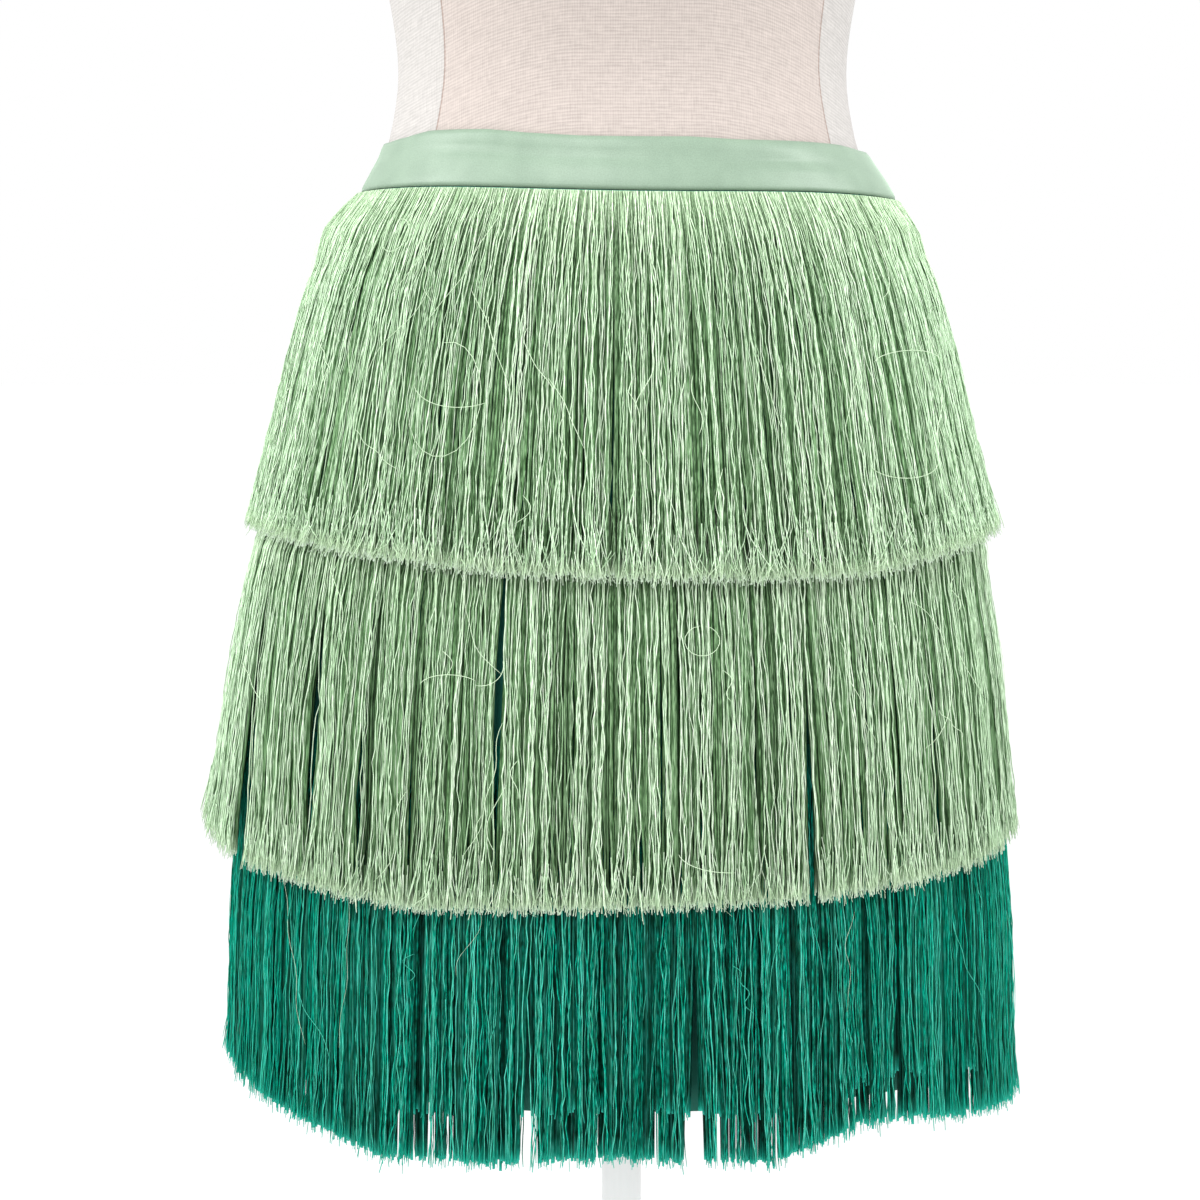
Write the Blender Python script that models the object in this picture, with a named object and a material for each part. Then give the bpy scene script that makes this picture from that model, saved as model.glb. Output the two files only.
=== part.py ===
"""A fringed mini skirt in three tiers, worn on a limbless dress form that stands on a round base.

Units are metres, +Z is up, the skirt's front faces -Y, and the origin is on the floor under the pole.
A bearing is an angle round the body: 0 at centre front, 90 degrees at +X, 180 degrees at centre back.
The garment surface is the inner face of the cloth, and an offset is measured outwards from it.
"""

import math
import random

import bmesh
import bpy
import numpy as np
from mathutils import Vector

MM = 0.001
SEAM_GAP = 0.3 * MM

# The skirt's own sizes
SEAM_Z = 0.9745  # where the waistband meets the skirt
BAND_HEIGHT = 29.5 * MM
BAND_WALL = 2.4 * MM
CLOTH_WALL = 1.5 * MM
HEM_Z = 0.507
WAIST_TILT = 2.2 * MM  # the waist sits this much higher at -X than at centre, and lower at +X
WAIST_ARCH = 1.5 * MM  # and this much higher between front and sides, and between sides and back
TILT_ENDS_Z = 0.900
TILT_FULL_Z = 0.970
WAIST_EASE = 4.5 * MM  # how far the waistband stands off the form at +X, between these heights
EASE_LOW_Z = 0.945
EASE_HIGH_Z = 1.012

# The closure at centre back
ZIP_SLOT = 3.0 * MM
ZIP_CHAIN_WIDTH = 2.4 * MM
ZIP_CHAIN_WALL = 1.2 * MM
ZIP_END_Z = 0.820
SLIDER_Z = 0.9985
PULL_LENGTH = 14 * MM
HINGE_STANDS_OFF = 2.5 * MM

# The stand
BASE_RADIUS = 0.175
BASE_RIM = 10 * MM
BOSS_RADIUS = 22 * MM
BOSS_TOP_Z = 45 * MM
POLE_RADIUS = 11 * MM
FLANGE_RADIUS = 45 * MM
FORM_BOTTOM_Z = 0.705
NECK_TOP_Z = 1.470
NECK_CAP_RADIUS = 47 * MM
NECK_CAP_SET_BACK = 3 * MM
ARM_PLATE_X = 0.166  # the torso is cut flat here, where arms would start

# Sections of the dress form, from its underside to its neck
FORM_SECTIONS = (
    # z, half_width, front, back
    (0.705, 0.1630, 0.1060, 0.1200),
    (0.760, 0.1710, 0.1120, 0.1270),
    (0.820, 0.1765, 0.1160, 0.1320),
    (0.880, 0.1715, 0.1190, 0.1305),
    (0.920, 0.1620, 0.1170, 0.1255),
    (0.951, 0.1510, 0.1120, 0.1160),
    (0.974, 0.1400, 0.1060, 0.1060),
    (1.004, 0.1260, 0.0960, 0.0960),
    (1.040, 0.1208, 0.0905, 0.0900),
    (1.100, 0.1290, 0.0980, 0.0985),
    (1.160, 0.1400, 0.1090, 0.1075),
    (1.215, 0.1510, 0.1180, 0.1130),
    (1.270, 0.1610, 0.1150, 0.1160),
    (1.330, 0.1740, 0.0980, 0.1140),
    (1.362, 0.1780, 0.0840, 0.1040),
    (1.386, 0.1620, 0.0730, 0.0930),
    (1.402, 0.1330, 0.0650, 0.0840),
    (1.416, 0.0980, 0.0600, 0.0760),
    (1.430, 0.0720, 0.0560, 0.0690),
    (1.446, 0.0600, 0.0530, 0.0610),
    (1.470, 0.0560, 0.0510, 0.0570),
)
BUST_Z = 1.215
BUST_X = 0.078
BUST_RISE = 24 * MM
BUST_SPREAD_X = 0.048
BUST_SPREAD_Z = 0.050

# Sections of the garment surface, which hugs the form at the waist and hangs clear of it below the hip
GARMENT_SECTIONS = (
    # z, half_width, front, back
    (0.507, 0.2025, 0.1440, 0.1500),
    (0.600, 0.2000, 0.1410, 0.1480),
    (0.700, 0.1960, 0.1360, 0.1460),
    (0.800, 0.1870, 0.1285, 0.1415),
    (0.843, 0.1815, 0.1245, 0.1385),
    (0.880, 0.1745, 0.1225, 0.1345),
    (0.920, 0.1645, 0.1190, 0.1275),
    (0.951, 0.1525, 0.1130, 0.1170),
    (0.974, 0.1410, 0.1069, 0.1069),
    (1.004, 0.1269, 0.0969, 0.0969),
    (1.040, 0.1217, 0.0914, 0.0909),
)

# How far the waistband's top edge falls below its full height, round the body
BAND_DIP = (
    # bearing in degrees, dip in mm
    (-180, 0), (-120, 2.0), (-90, 3.6), (-74, 4.0), (-62, 2.7), (-52, 0.3), (-33, 0), (-23, 1.4),
    (-10, 2.2), (15, 1.8), (27, 3.2), (60, 3.2), (72, 4.4), (90, 4.0), (120, 2.0), (180, 0),
)

# How far the cut ends of each fringe rise above its lowest front ends, round the body
TOP_HEM_RISE = (
    # bearing in degrees, rise in mm
    (-180, 8), (-120, 18), (-90, 21), (-67, 16.5), (-54, 12.6), (-36, 8), (-20, 3), (0, 0),
    (28, -1), (40, 0), (52, 6), (60, 9.5), (72, 13), (90, 21), (120, 18), (180, 8),
)
MIDDLE_HEM_RISE = (
    # bearing in degrees, rise in mm
    (-180, 4), (-120, 15), (-90, 25), (-77, 15), (-66, 7), (-50, 3), (-31, -4), (0, 0),
    (27, 1.5), (34, 3), (47, 5), (57, 8), (66, 11), (78, 16), (90, 19), (120, 15), (180, 4),
)
BOTTOM_HEM_RISE = (
    # bearing in degrees, rise in mm
    (-180, 0), (-120, 12), (-90, 22), (-77, 20), (-66, 12), (-52, 5), (-44, 0), (-36, -7), (-21, -5),
    (0, 0), (12, -3), (21, -5), (26, 1), (36, 9.5), (45, 9), (57, 3), (78, -2), (90, 0), (180, 0),
)

# How a fringe lies over the skirt from its header down to its ends
TOP_LIE = (
    # share of length, middle's offset from the cloth in mm, thickness in mm
    (0.00, 1.3, 2.0), (0.10, 4.6, 4.0), (0.36, 5.6, 4.2), (0.68, 7.6, 4.4), (1.00, 14.0, 4.6),
)
MIDDLE_LIE = (
    # share of length, middle's offset from the cloth in mm, thickness in mm
    (0.00, 1.3, 2.0), (0.14, 8.0, 4.0), (0.50, 12.8, 4.4), (1.00, 17.0, 4.8),
)
BOTTOM_LIE = (
    # share of length, middle's offset from the cloth in mm, thickness in mm
    (0.00, 1.3, 2.0), (0.14, 7.4, 4.0), (0.50, 12.0, 4.4), (1.00, 12.6, 4.8),
)
SIDE_KICK_SPREAD = math.radians(20)

HEADER_HEIGHT = 7 * MM
HEADER_WALL = 2.0 * MM
LOCK_GAP_TOP = 0.5 * MM
LOCK_GAP_ENDS = 1.8 * MM
LOCK_FRONT_SHARE = 0.78  # a lock's outer side is this much of its inner side's width
LOCK_SWAY = 0.4 * MM
LOCK_RAGGED = 2.0 * MM

FRINGES = (
    # name, material, header's top, front ends' height, locks, hem rise, lie,
    # how far the ends swing out at -X in mm, how far all hangs towards -X in mm, open at centre back
    ("fringe_top", "fringe_mint", SEAM_Z - SEAM_GAP, 0.778, 80, TOP_HEM_RISE, TOP_LIE, 0, 0, True),
    ("fringe_middle", "fringe_mint", 0.8135, 0.6134, 84, MIDDLE_HEM_RISE, MIDDLE_LIE, 8.5, 2.5, False),
    ("fringe_bottom", "fringe_green", 0.6940, 0.4844, 86, BOTTOM_HEM_RISE, BOTTOM_LIE, 0, 0.5, False),
)

MATERIALS = {
    # name: colour, roughness, metallic
    "mint_satin": ((0.50, 0.68, 0.51), 0.45, 0.0),
    "teal_cloth": ((0.010, 0.17, 0.12), 0.80, 0.0),
    "fringe_mint": ((0.38, 0.56, 0.33), 0.55, 0.0),
    "fringe_green": ((0.010, 0.24, 0.16), 0.55, 0.0),
    "form_linen": ((0.78, 0.70, 0.63), 0.90, 0.0),
    "pale_wood": ((0.62, 0.45, 0.28), 0.50, 0.0),
    "white_enamel": ((0.86, 0.86, 0.85), 0.35, 0.0),
    "zip_enamel": ((0.42, 0.60, 0.43), 0.35, 0.3),
}


# Surfaces

def smooth_profile(table):
    """A function of height that runs smoothly through the table's rows without overshooting them."""
    rows = np.array(table, float)
    heights, values = rows[:, 0], rows[:, 1:]
    steps = np.diff(heights)[:, None]
    slopes = np.diff(values, axis=0) / steps
    before, after = slopes[:-1], slopes[1:]
    same_way = before * after > 0
    total = np.where(same_way, before + after, 1.0)
    between = np.where(same_way, 2 * before * after / total, 0.0)
    tangents = np.concatenate([slopes[:1], between, slopes[-1:]])

    def at(height):
        i = int(np.clip(np.searchsorted(heights, height) - 1, 0, len(steps) - 1))
        step = steps[i, 0]
        t = (height - heights[i]) / step
        rise = t * t * (3 - 2 * t)
        start_pull = t * (1 - t) ** 2 * step
        end_pull = -t * t * (1 - t) * step
        blend = (1 - rise) * values[i] + rise * values[i + 1]
        return blend + start_pull * tangents[i] + end_pull * tangents[i + 1]

    return at


form_section = smooth_profile(FORM_SECTIONS)
garment_section = smooth_profile(GARMENT_SECTIONS)


def around(section, bearing, z, offset=0.0):
    """The point of an oval section at this bearing and height, moved straight outwards by offset."""
    half_width, front, back = section(z)
    depth = front if math.cos(bearing) > 0 else back
    point = Vector((half_width * math.sin(bearing), -depth * math.cos(bearing), z))
    outwards = Vector((math.sin(bearing) / half_width, -math.cos(bearing) / depth, 0.0))
    return point + outwards.normalized() * offset


def form_point(bearing, z):
    """A point of the dress form, with its bust and its flat arm plates."""
    point = around(form_section, bearing, z)
    if math.cos(bearing) > 0:
        across = (abs(point.x) - BUST_X) / BUST_SPREAD_X
        up = (z - BUST_Z) / BUST_SPREAD_Z
        point.y -= BUST_RISE * math.cos(bearing) * math.exp(-(across**2 + up**2) / 2)
    point.x = max(-ARM_PLATE_X, min(ARM_PLATE_X, point.x))
    return point


def round_body(table, bearing):
    """A length from a table of bearings in degrees and lengths in mm."""
    degrees = math.degrees(math.remainder(bearing, 2 * math.pi))
    return float(np.interp(degrees, [row[0] for row in table], [row[1] for row in table])) * MM


def garment_point(bearing, z, offset=0.0):
    """A point of the garment surface, moved outwards by offset. The waist is tilted, arched and eased."""
    share = max(0.0, min(1.0, (z - TILT_ENDS_Z) / (TILT_FULL_Z - TILT_ENDS_Z)))
    lift = share * (WAIST_ARCH * math.sin(2 * bearing) ** 2 - WAIST_TILT * math.sin(bearing))
    lift -= round_body(BAND_DIP, bearing) * max(0.0, z - SEAM_Z) / BAND_HEIGHT
    rise = max(0.0, min(1.0, (z - EASE_LOW_Z) / (EASE_HIGH_Z - EASE_LOW_Z)))
    ease = WAIST_EASE * math.sin(math.pi * rise) * max(0.0, math.sin(bearing)) ** 2
    return around(garment_section, bearing, z + lift, offset + ease)


def even_bearings(count, z, start, end):
    """count + 1 bearings from start to end, equally far apart along the cloth at height z."""
    fine = np.linspace(start, end, 1441)
    points = np.array([garment_point(b, z, CLOTH_WALL) for b in fine])
    run = np.concatenate([[0.0], np.cumsum(np.linalg.norm(np.diff(points, axis=0), axis=1))])
    return np.interp(np.linspace(0.0, run[-1], count + 1), run, fine).tolist()


def spaced(first, last, count):
    """count + 1 evenly spaced values, both ends among them."""
    return np.linspace(first, last, count + 1).tolist()


# Mesh helpers

def principled(name):
    """The named material, made once."""
    if name in bpy.data.materials:
        return bpy.data.materials[name]
    colour, roughness, metallic = MATERIALS[name]
    material = bpy.data.materials.new(name)
    material.use_nodes = True
    shader = material.node_tree.nodes["Principled BSDF"]
    shader.inputs["Base Color"].default_value = (*colour, 1.0)
    shader.inputs["Roughness"].default_value = roughness
    shader.inputs["Metallic"].default_value = metallic
    material.diffuse_color = (*colour, 1.0)
    return material


def finished(name, bm, material, parent, sharp_above=40.0):
    """Turns a bmesh into a named object under a parent empty, shaded smooth but for its sharp edges."""
    bmesh.ops.recalc_face_normals(bm, faces=bm.faces)
    mesh = bpy.data.meshes.new(name)
    bm.to_mesh(mesh)
    bm.free()
    mesh.shade_smooth()
    mesh.set_sharp_from_angle(angle=math.radians(sharp_above))
    mesh.materials.append(principled(material))
    thing = bpy.data.objects.new(name, mesh)
    thing.parent = parent
    bpy.context.scene.collection.objects.link(thing)
    return thing


def empty(name, location=(0, 0, 0), parent=None):
    """An empty that carries other objects."""
    holder = bpy.data.objects.new(name, None)
    holder.location = location
    holder.parent = parent
    bpy.context.scene.collection.objects.link(holder)
    return holder


def bridge(bm, ring, following, closed):
    """Quads between two rows of vertices."""
    count = len(ring)
    for i in range(count if closed else count - 1):
        j = (i + 1) % count
        bm.faces.new((ring[i], ring[j], following[j], following[i]))


def lofted(rings):
    """A closed body through rings of points, with a flat cap at each end."""
    bm = bmesh.new()
    rows = [[bm.verts.new(p) for p in ring] for ring in rings]
    for ring, following in zip(rows, rows[1:]):
        bridge(bm, ring, following, closed=True)
    bm.faces.new(rows[0])
    bm.faces.new(rows[-1])
    return bm


def turned(profile, segments):
    """A round body from (radius, height) pairs, from its underside to its top."""
    turns = [2 * math.pi * i / segments for i in range(segments)]
    return lofted([[(r * math.cos(a), r * math.sin(a), z) for a in turns] for r, z in profile])


def cloth_wall(heights, columns, inner, outer):
    """A wall of cloth that isn't closed round the body, from its top edge down.

    columns gives the bearings of the row at a height; inner and outer are its faces' offsets.
    """
    bm = bmesh.new()
    faces = {}
    for side, offset in (("inner", inner), ("outer", outer)):
        faces[side] = [
            [bm.verts.new(garment_point(b, z, offset)) for b in columns(z)] for z in heights
        ]
    for side in faces.values():
        for row, following in zip(side, side[1:]):
            bridge(bm, row, following, closed=False)
    for row in (0, -1):
        bridge(bm, faces["inner"][row], faces["outer"][row], closed=False)
    for end in (0, -1):
        edges = [[row[end] for row in faces[side]] for side in ("inner", "outer")]
        bridge(bm, edges[0], edges[1], closed=False)
    return bm


def box(size, centre):
    """A box as a bmesh."""
    bm = bmesh.new()
    bmesh.ops.create_cube(bm, size=1.0)
    bmesh.ops.scale(bm, vec=size, verts=bm.verts)
    bmesh.ops.translate(bm, vec=centre, verts=bm.verts)
    return bm


# The dress form and its stand

def add_torso(parent):
    """The padded torso, smooth and without limbs."""
    heights = [
        *spaced(FORM_BOTTOM_Z, 0.930, 8),
        *spaced(0.951, 1.040, 8),
        *spaced(1.070, 1.340, 9),
        *spaced(1.362, NECK_TOP_Z, 8),
    ]
    bearings = spaced(0.0, 2 * math.pi, 40)[:-1]
    rings = [[form_point(b, z) for b in bearings] for z in heights]
    return finished("form_torso", lofted(rings), "form_linen", parent)


def add_neck_cap(parent):
    """A plain turned wooden cap, a little domed, that closes the neck."""
    profile = (
        (NECK_CAP_RADIUS - 2 * MM, 0.0),
        (NECK_CAP_RADIUS, 2 * MM),
        (NECK_CAP_RADIUS, 8 * MM),
        (NECK_CAP_RADIUS - 3 * MM, 11 * MM),
        (NECK_CAP_RADIUS * 0.75, 14 * MM),
        (NECK_CAP_RADIUS * 0.40, 16 * MM),
    )
    cap = finished("form_neck_cap", turned(profile, 28), "pale_wood", parent)
    cap.location = (0.0, NECK_CAP_SET_BACK, NECK_TOP_Z + SEAM_GAP)
    return cap


def add_pole(parent):
    """The pole, with the flange that carries the torso."""
    top = FORM_BOTTOM_Z - SEAM_GAP
    profile = (
        (POLE_RADIUS, BOSS_TOP_Z + SEAM_GAP),
        (POLE_RADIUS, top - 16 * MM),
        (FLANGE_RADIUS - 8 * MM, top - 8 * MM),
        (FLANGE_RADIUS, top - 6 * MM),
        (FLANGE_RADIUS, top),
    )
    return finished("form_pole", turned(profile, 24), "white_enamel", parent)


def add_base(parent):
    """The round base plate, domed up to the boss that the pole stands on."""
    profile = (
        (BASE_RADIUS - 2 * MM, 0.0),
        (BASE_RADIUS, 2 * MM),
        (BASE_RADIUS, BASE_RIM - 2 * MM),
        (BASE_RADIUS - 3 * MM, BASE_RIM),
        (BASE_RADIUS * 0.55, BASE_RIM + 6 * MM),
        (BOSS_RADIUS + 8 * MM, BASE_RIM + 12 * MM),
        (BOSS_RADIUS, BASE_RIM + 18 * MM),
        (BOSS_RADIUS, BOSS_TOP_Z - 2 * MM),
        (BOSS_RADIUS - 2 * MM, BOSS_TOP_Z),
    )
    return finished("form_base", turned(profile, 40), "white_enamel", parent)


# The skirt

def back_edge(half_gap, z):
    """The bearing at which an edge runs half_gap to the +X side of centre back."""
    return math.pi - half_gap / garment_section(z)[0]


def slot_half_gap(z):
    """Half the gap between the two back panels: the zip's slot, and below it a plain seam."""
    return ZIP_SLOT / 2 if z > ZIP_END_Z - 4 * MM else SEAM_GAP / 2


def side_edge(z):
    """How far past the side seam's own bearing each panel's edge stops."""
    return SEAM_GAP / 2 / garment_section(z)[1]


def add_panels(parent):
    """Front panel and two back panels, meeting at the side seams and at centre back."""
    heights = [
        SEAM_Z - SEAM_GAP, 0.951, 0.925, 0.897, 0.865, 0.835,
        ZIP_END_Z, ZIP_END_Z - 6 * MM, 0.760, 0.700, 0.600, HEM_Z,
    ]
    side = math.pi / 2

    def front_columns(z):
        reach = side - side_edge(z)
        return even_bearings(28, z, -reach, reach)

    def back_columns(z):
        return even_bearings(14, z, side + side_edge(z), back_edge(slot_half_gap(z), z))

    def mirrored_columns(z):
        return [-b for b in back_columns(z)]

    for name, columns in (
        ("panel_front", front_columns),
        ("panel_back_left", back_columns),
        ("panel_back_right", mirrored_columns),
    ):
        wall = cloth_wall(heights, columns, 0.0, CLOTH_WALL)
        finished(name, wall, "teal_cloth", parent)


def add_waistband(parent):
    """One straight band round the waist, its ends meeting at the zip."""
    heights = spaced(SEAM_Z + BAND_HEIGHT, SEAM_Z, 3)

    def columns(z):
        reach = back_edge(ZIP_SLOT / 2, z)
        return even_bearings(64, z, -reach, reach)

    return finished("waistband", cloth_wall(heights, columns, 0.0, BAND_WALL), "mint_satin", parent)


def swing(bearing, share, kick, lean):
    """How much further out a fringe hangs at a bearing and a share of its length than its lie says."""
    away = math.remainder(bearing + math.pi / 2, 2 * math.pi) / SIDE_KICK_SPREAD
    return kick * math.exp(-away * away) * share**2 - lean * math.sin(bearing) * min(1.0, 4 * share)


def lock_corners(edges, z, middle, thickness, gap, sway):
    """Four corners of a lock: outer left and right, then inner right and left."""
    bearing = (edges[0] + edges[1]) / 2
    span = garment_point(edges[1], z, middle) - garment_point(edges[0], z, middle)
    width = span.length - gap
    along = span.normalized()
    corners = []
    for side, depth, share in (
        (-1, 1, LOCK_FRONT_SHARE),
        (1, 1, LOCK_FRONT_SHARE),
        (1, -1, 1.0),
        (-1, -1, 1.0),
    ):
        point = garment_point(bearing, z, middle + depth * thickness / 2)
        corners.append(point + along * (side * share * width / 2 + sway))
    return corners


def add_fringe(parent, name, material, top_z, front_ends_z, count, rise, lie, kick, lean, is_open):
    """A fringe: a narrow header strip on the cloth, and locks that hang from its lower edge."""
    chance = random.Random(name)
    root_z = top_z - HEADER_HEIGHT
    reach = back_edge(ZIP_SLOT / 2 + 1 * MM, top_z) if is_open else math.pi
    edges = even_bearings(count, top_z, -reach, reach)
    inner = CLOTH_WALL + SEAM_GAP
    outer = inner + HEADER_WALL
    bm = bmesh.new()
    rows = []
    for z, offset in ((top_z, inner), (top_z, outer), (root_z, outer), (root_z, inner)):
        bearings = edges if is_open else edges[:-1]
        rows.append([bm.verts.new(garment_point(b, z, offset)) for b in bearings])
    for row, following in zip(rows[:3], rows[1:]):
        bridge(bm, row, following, closed=not is_open)
    bridge(bm, rows[3], rows[0], closed=not is_open)
    if is_open:
        for end in (0, -1):
            bm.faces.new([row[end] for row in rows])
    bm.faces.ensure_lookup_table()
    roots = bm.faces[2 * count : 3 * count]
    for i, root in enumerate(roots):
        pair = (edges[i], edges[i + 1])
        bearing = sum(pair) / 2
        ends_z = front_ends_z + round_body(rise, bearing) + chance.uniform(-1, 1) * LOCK_RAGGED
        sway = chance.uniform(-1, 1) * LOCK_SWAY
        face = root
        for share, middle_mm, thickness_mm in lie[1:]:
            face = bmesh.ops.extrude_discrete_faces(bm, faces=[face])["faces"][0]
            z = root_z + (ends_z - root_z) * share
            middle = CLOTH_WALL + (middle_mm + swing(bearing, share, kick, lean)) * MM
            gap = LOCK_GAP_TOP + (LOCK_GAP_ENDS - LOCK_GAP_TOP) * share
            corners = lock_corners(pair, z, middle, thickness_mm * MM, gap, sway * share)
            for vertex, corner in zip(face.verts, corners):
                vertex.co = corner
    return finished(name, bm, material, parent, sharp_above=30.0)


# The zip at centre back

def band_lean():
    """How far the band's centre back leans from upright, as it widens downwards."""
    above = garment_point(math.pi, SLIDER_Z + 5 * MM)
    below = garment_point(math.pi, SLIDER_Z - 15 * MM)
    return math.atan2(below.y - above.y, above.z - below.z)


def add_zip_chain(parent):
    """The closed coil, a narrow strip that fills the slot between the back edges."""
    heights = [
        SLIDER_Z - 3.6 * MM, 0.985, SEAM_Z, 0.951, 0.925, 0.897, 0.865, 0.835, ZIP_END_Z,
    ]

    def columns(z):
        half = ZIP_CHAIN_WIDTH / 2 / garment_section(z)[0]
        return [math.pi - half, math.pi, math.pi + half]

    chain = cloth_wall(heights, columns, 0.2 * MM, 0.2 * MM + ZIP_CHAIN_WALL)
    return finished("zip_chain", chain, "zip_enamel", parent)


def add_slider(parent):
    """The slider: a plate outside the band, a neck in the slot, and two ears for the pull."""
    body = finished(
        "zip_slider",
        box((5.2 * MM, 1.0 * MM, 8.0 * MM), (0.0, 0.9 * MM, 0.0)),
        "zip_enamel",
        parent,
    )
    ear_height = 2.4 * MM
    additions = (
        ("neck", (2.0 * MM, 2.4 * MM, 6.0 * MM), (0.0, -0.5 * MM, 0.0)),
        ("ear_left", (0.8 * MM, 2.9 * MM, ear_height), (-1.5 * MM, 2.25 * MM, 0.0)),
        ("ear_right", (0.8 * MM, 2.9 * MM, ear_height), (1.5 * MM, 2.25 * MM, 0.0)),
    )
    for name, size, centre in additions:
        addition = finished(name, box(size, centre), "zip_enamel", parent)
        addition.hide_render = True
        addition.display_type = "WIRE"
        join = body.modifiers.new(name, "BOOLEAN")
        join.operation = "UNION"
        join.solver = "EXACT"
        join.object = addition
    return body


def add_pull(parent):
    """The pull tab: a barrel between the slider's ears, on its hinge axis, and a flared plate."""
    outline = (
        # drop below the axis, half width
        (0.0, 0.8 * MM),
        (2.4 * MM, 0.8 * MM),
        (5.0 * MM, 1.2 * MM),
        (PULL_LENGTH - 3 * MM, 2.2 * MM),
        (PULL_LENGTH - 1 * MM, 1.7 * MM),
        (PULL_LENGTH, 0.8 * MM),
    )
    half_wall = 0.45 * MM
    plate = lofted([
        [(-w, -half_wall, -drop), (w, -half_wall, -drop), (w, half_wall, -drop), (-w, half_wall, -drop)]
        for drop, w in outline
    ])
    pull = finished("zip_pull", plate, "zip_enamel", parent)
    pull.location = (0.0, HINGE_STANDS_OFF, 0.0)
    barrel_mesh = bmesh.new()
    bmesh.ops.create_cone(
        barrel_mesh, cap_ends=True, segments=12, radius1=0.8 * MM, radius2=0.8 * MM, depth=1.6 * MM
    )
    bmesh.ops.rotate(
        barrel_mesh,
        verts=barrel_mesh.verts,
        matrix=Vector((1, 0, 0)).rotation_difference(Vector((0, 0, 1))).to_matrix(),
    )
    barrel = finished("barrel", barrel_mesh, "zip_enamel", parent)
    barrel.location = pull.location
    barrel.hide_render = True
    barrel.display_type = "WIRE"
    join = pull.modifiers.new("barrel", "BOOLEAN")
    join.operation = "UNION"
    join.solver = "EXACT"
    join.object = barrel
    return pull


def add_zip(parent):
    """The chain, and the slider and pull in a frame that leans with the band."""
    add_zip_chain(parent)
    outer_face = garment_point(math.pi, SLIDER_Z, BAND_WALL)
    frame = empty("zip_frame", outer_face, parent)
    frame.rotation_euler = (band_lean(), 0.0, 0.0)
    add_slider(frame)
    add_pull(frame)


def main():
    for old in list(bpy.data.objects):
        bpy.data.objects.remove(old)
    dress_form = empty("dress_form")
    add_torso(dress_form)
    add_neck_cap(dress_form)
    add_pole(dress_form)
    add_base(dress_form)
    skirt = empty("skirt")
    add_panels(skirt)
    add_waistband(skirt)
    for row in FRINGES:
        add_fringe(skirt, *row)
    add_zip(skirt)


main()
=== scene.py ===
"""Looks of a fringed mini skirt in three tiers on a limbless dress form.

Metres, +Z is up, the skirt's front faces -Y. A bearing is an angle round the body: 0 at centre
front, 90 degrees at +X, 180 degrees at centre back. The garment surface is the inner face of the
cloth, and an offset is measured outwards from it.
"""

import math
from collections import namedtuple

import bpy
import numpy as np
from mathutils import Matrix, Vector


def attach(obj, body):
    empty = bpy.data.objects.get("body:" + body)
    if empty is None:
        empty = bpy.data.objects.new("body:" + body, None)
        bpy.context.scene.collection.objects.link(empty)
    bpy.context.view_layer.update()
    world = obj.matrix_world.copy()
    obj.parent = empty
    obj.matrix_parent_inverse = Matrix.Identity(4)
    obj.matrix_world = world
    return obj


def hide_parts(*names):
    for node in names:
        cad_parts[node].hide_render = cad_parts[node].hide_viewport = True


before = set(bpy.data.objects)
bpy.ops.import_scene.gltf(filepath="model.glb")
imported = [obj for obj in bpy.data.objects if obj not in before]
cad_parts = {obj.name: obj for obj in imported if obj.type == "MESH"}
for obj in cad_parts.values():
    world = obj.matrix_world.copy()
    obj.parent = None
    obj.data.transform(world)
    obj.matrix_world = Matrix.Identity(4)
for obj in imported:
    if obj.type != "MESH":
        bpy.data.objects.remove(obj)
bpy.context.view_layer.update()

MM = 0.001
DEGREE = math.pi / 180
SKIRT = "skirt_on_form"

# Sizes that the solids have too
SEAM_GAP = 0.3 * MM
SEAM_Z = 0.9745
BAND_HEIGHT = 29.5 * MM
BAND_WALL = 2.4 * MM
CLOTH_WALL = 1.5 * MM
HEM_Z = 0.507
WAIST_TILT = 2.2 * MM
WAIST_ARCH = 1.5 * MM
TILT_ENDS_Z = 0.900
TILT_FULL_Z = 0.970
WAIST_EASE = 4.5 * MM
EASE_LOW_Z = 0.945
EASE_HIGH_Z = 1.012
ZIP_SLOT = 3.0 * MM
ZIP_END_Z = 0.820
SLIDER_Z = 0.9985
FORM_BOTTOM_Z = 0.705
NECK_TOP_Z = 1.470
ARM_PLATE_X = 0.166
SIDE_KICK_SPREAD = 20 * DEGREE
BUST_Z = 1.215
BUST_X = 0.078
BUST_RISE = 24 * MM
BUST_SPREAD_X = 0.048
BUST_SPREAD_Z = 0.050

FORM_SECTIONS = (
    # z, half_width, front, back
    (0.705, 0.1630, 0.1060, 0.1200),
    (0.760, 0.1710, 0.1120, 0.1270),
    (0.820, 0.1765, 0.1160, 0.1320),
    (0.880, 0.1715, 0.1190, 0.1305),
    (0.920, 0.1620, 0.1170, 0.1255),
    (0.951, 0.1510, 0.1120, 0.1160),
    (0.974, 0.1400, 0.1060, 0.1060),
    (1.004, 0.1260, 0.0960, 0.0960),
    (1.040, 0.1208, 0.0905, 0.0900),
    (1.100, 0.1290, 0.0980, 0.0985),
    (1.160, 0.1400, 0.1090, 0.1075),
    (1.215, 0.1510, 0.1180, 0.1130),
    (1.270, 0.1610, 0.1150, 0.1160),
    (1.330, 0.1740, 0.0980, 0.1140),
    (1.362, 0.1780, 0.0840, 0.1040),
    (1.386, 0.1620, 0.0730, 0.0930),
    (1.402, 0.1330, 0.0650, 0.0840),
    (1.416, 0.0980, 0.0600, 0.0760),
    (1.430, 0.0720, 0.0560, 0.0690),
    (1.446, 0.0600, 0.0530, 0.0610),
    (1.470, 0.0560, 0.0510, 0.0570),
)
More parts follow.
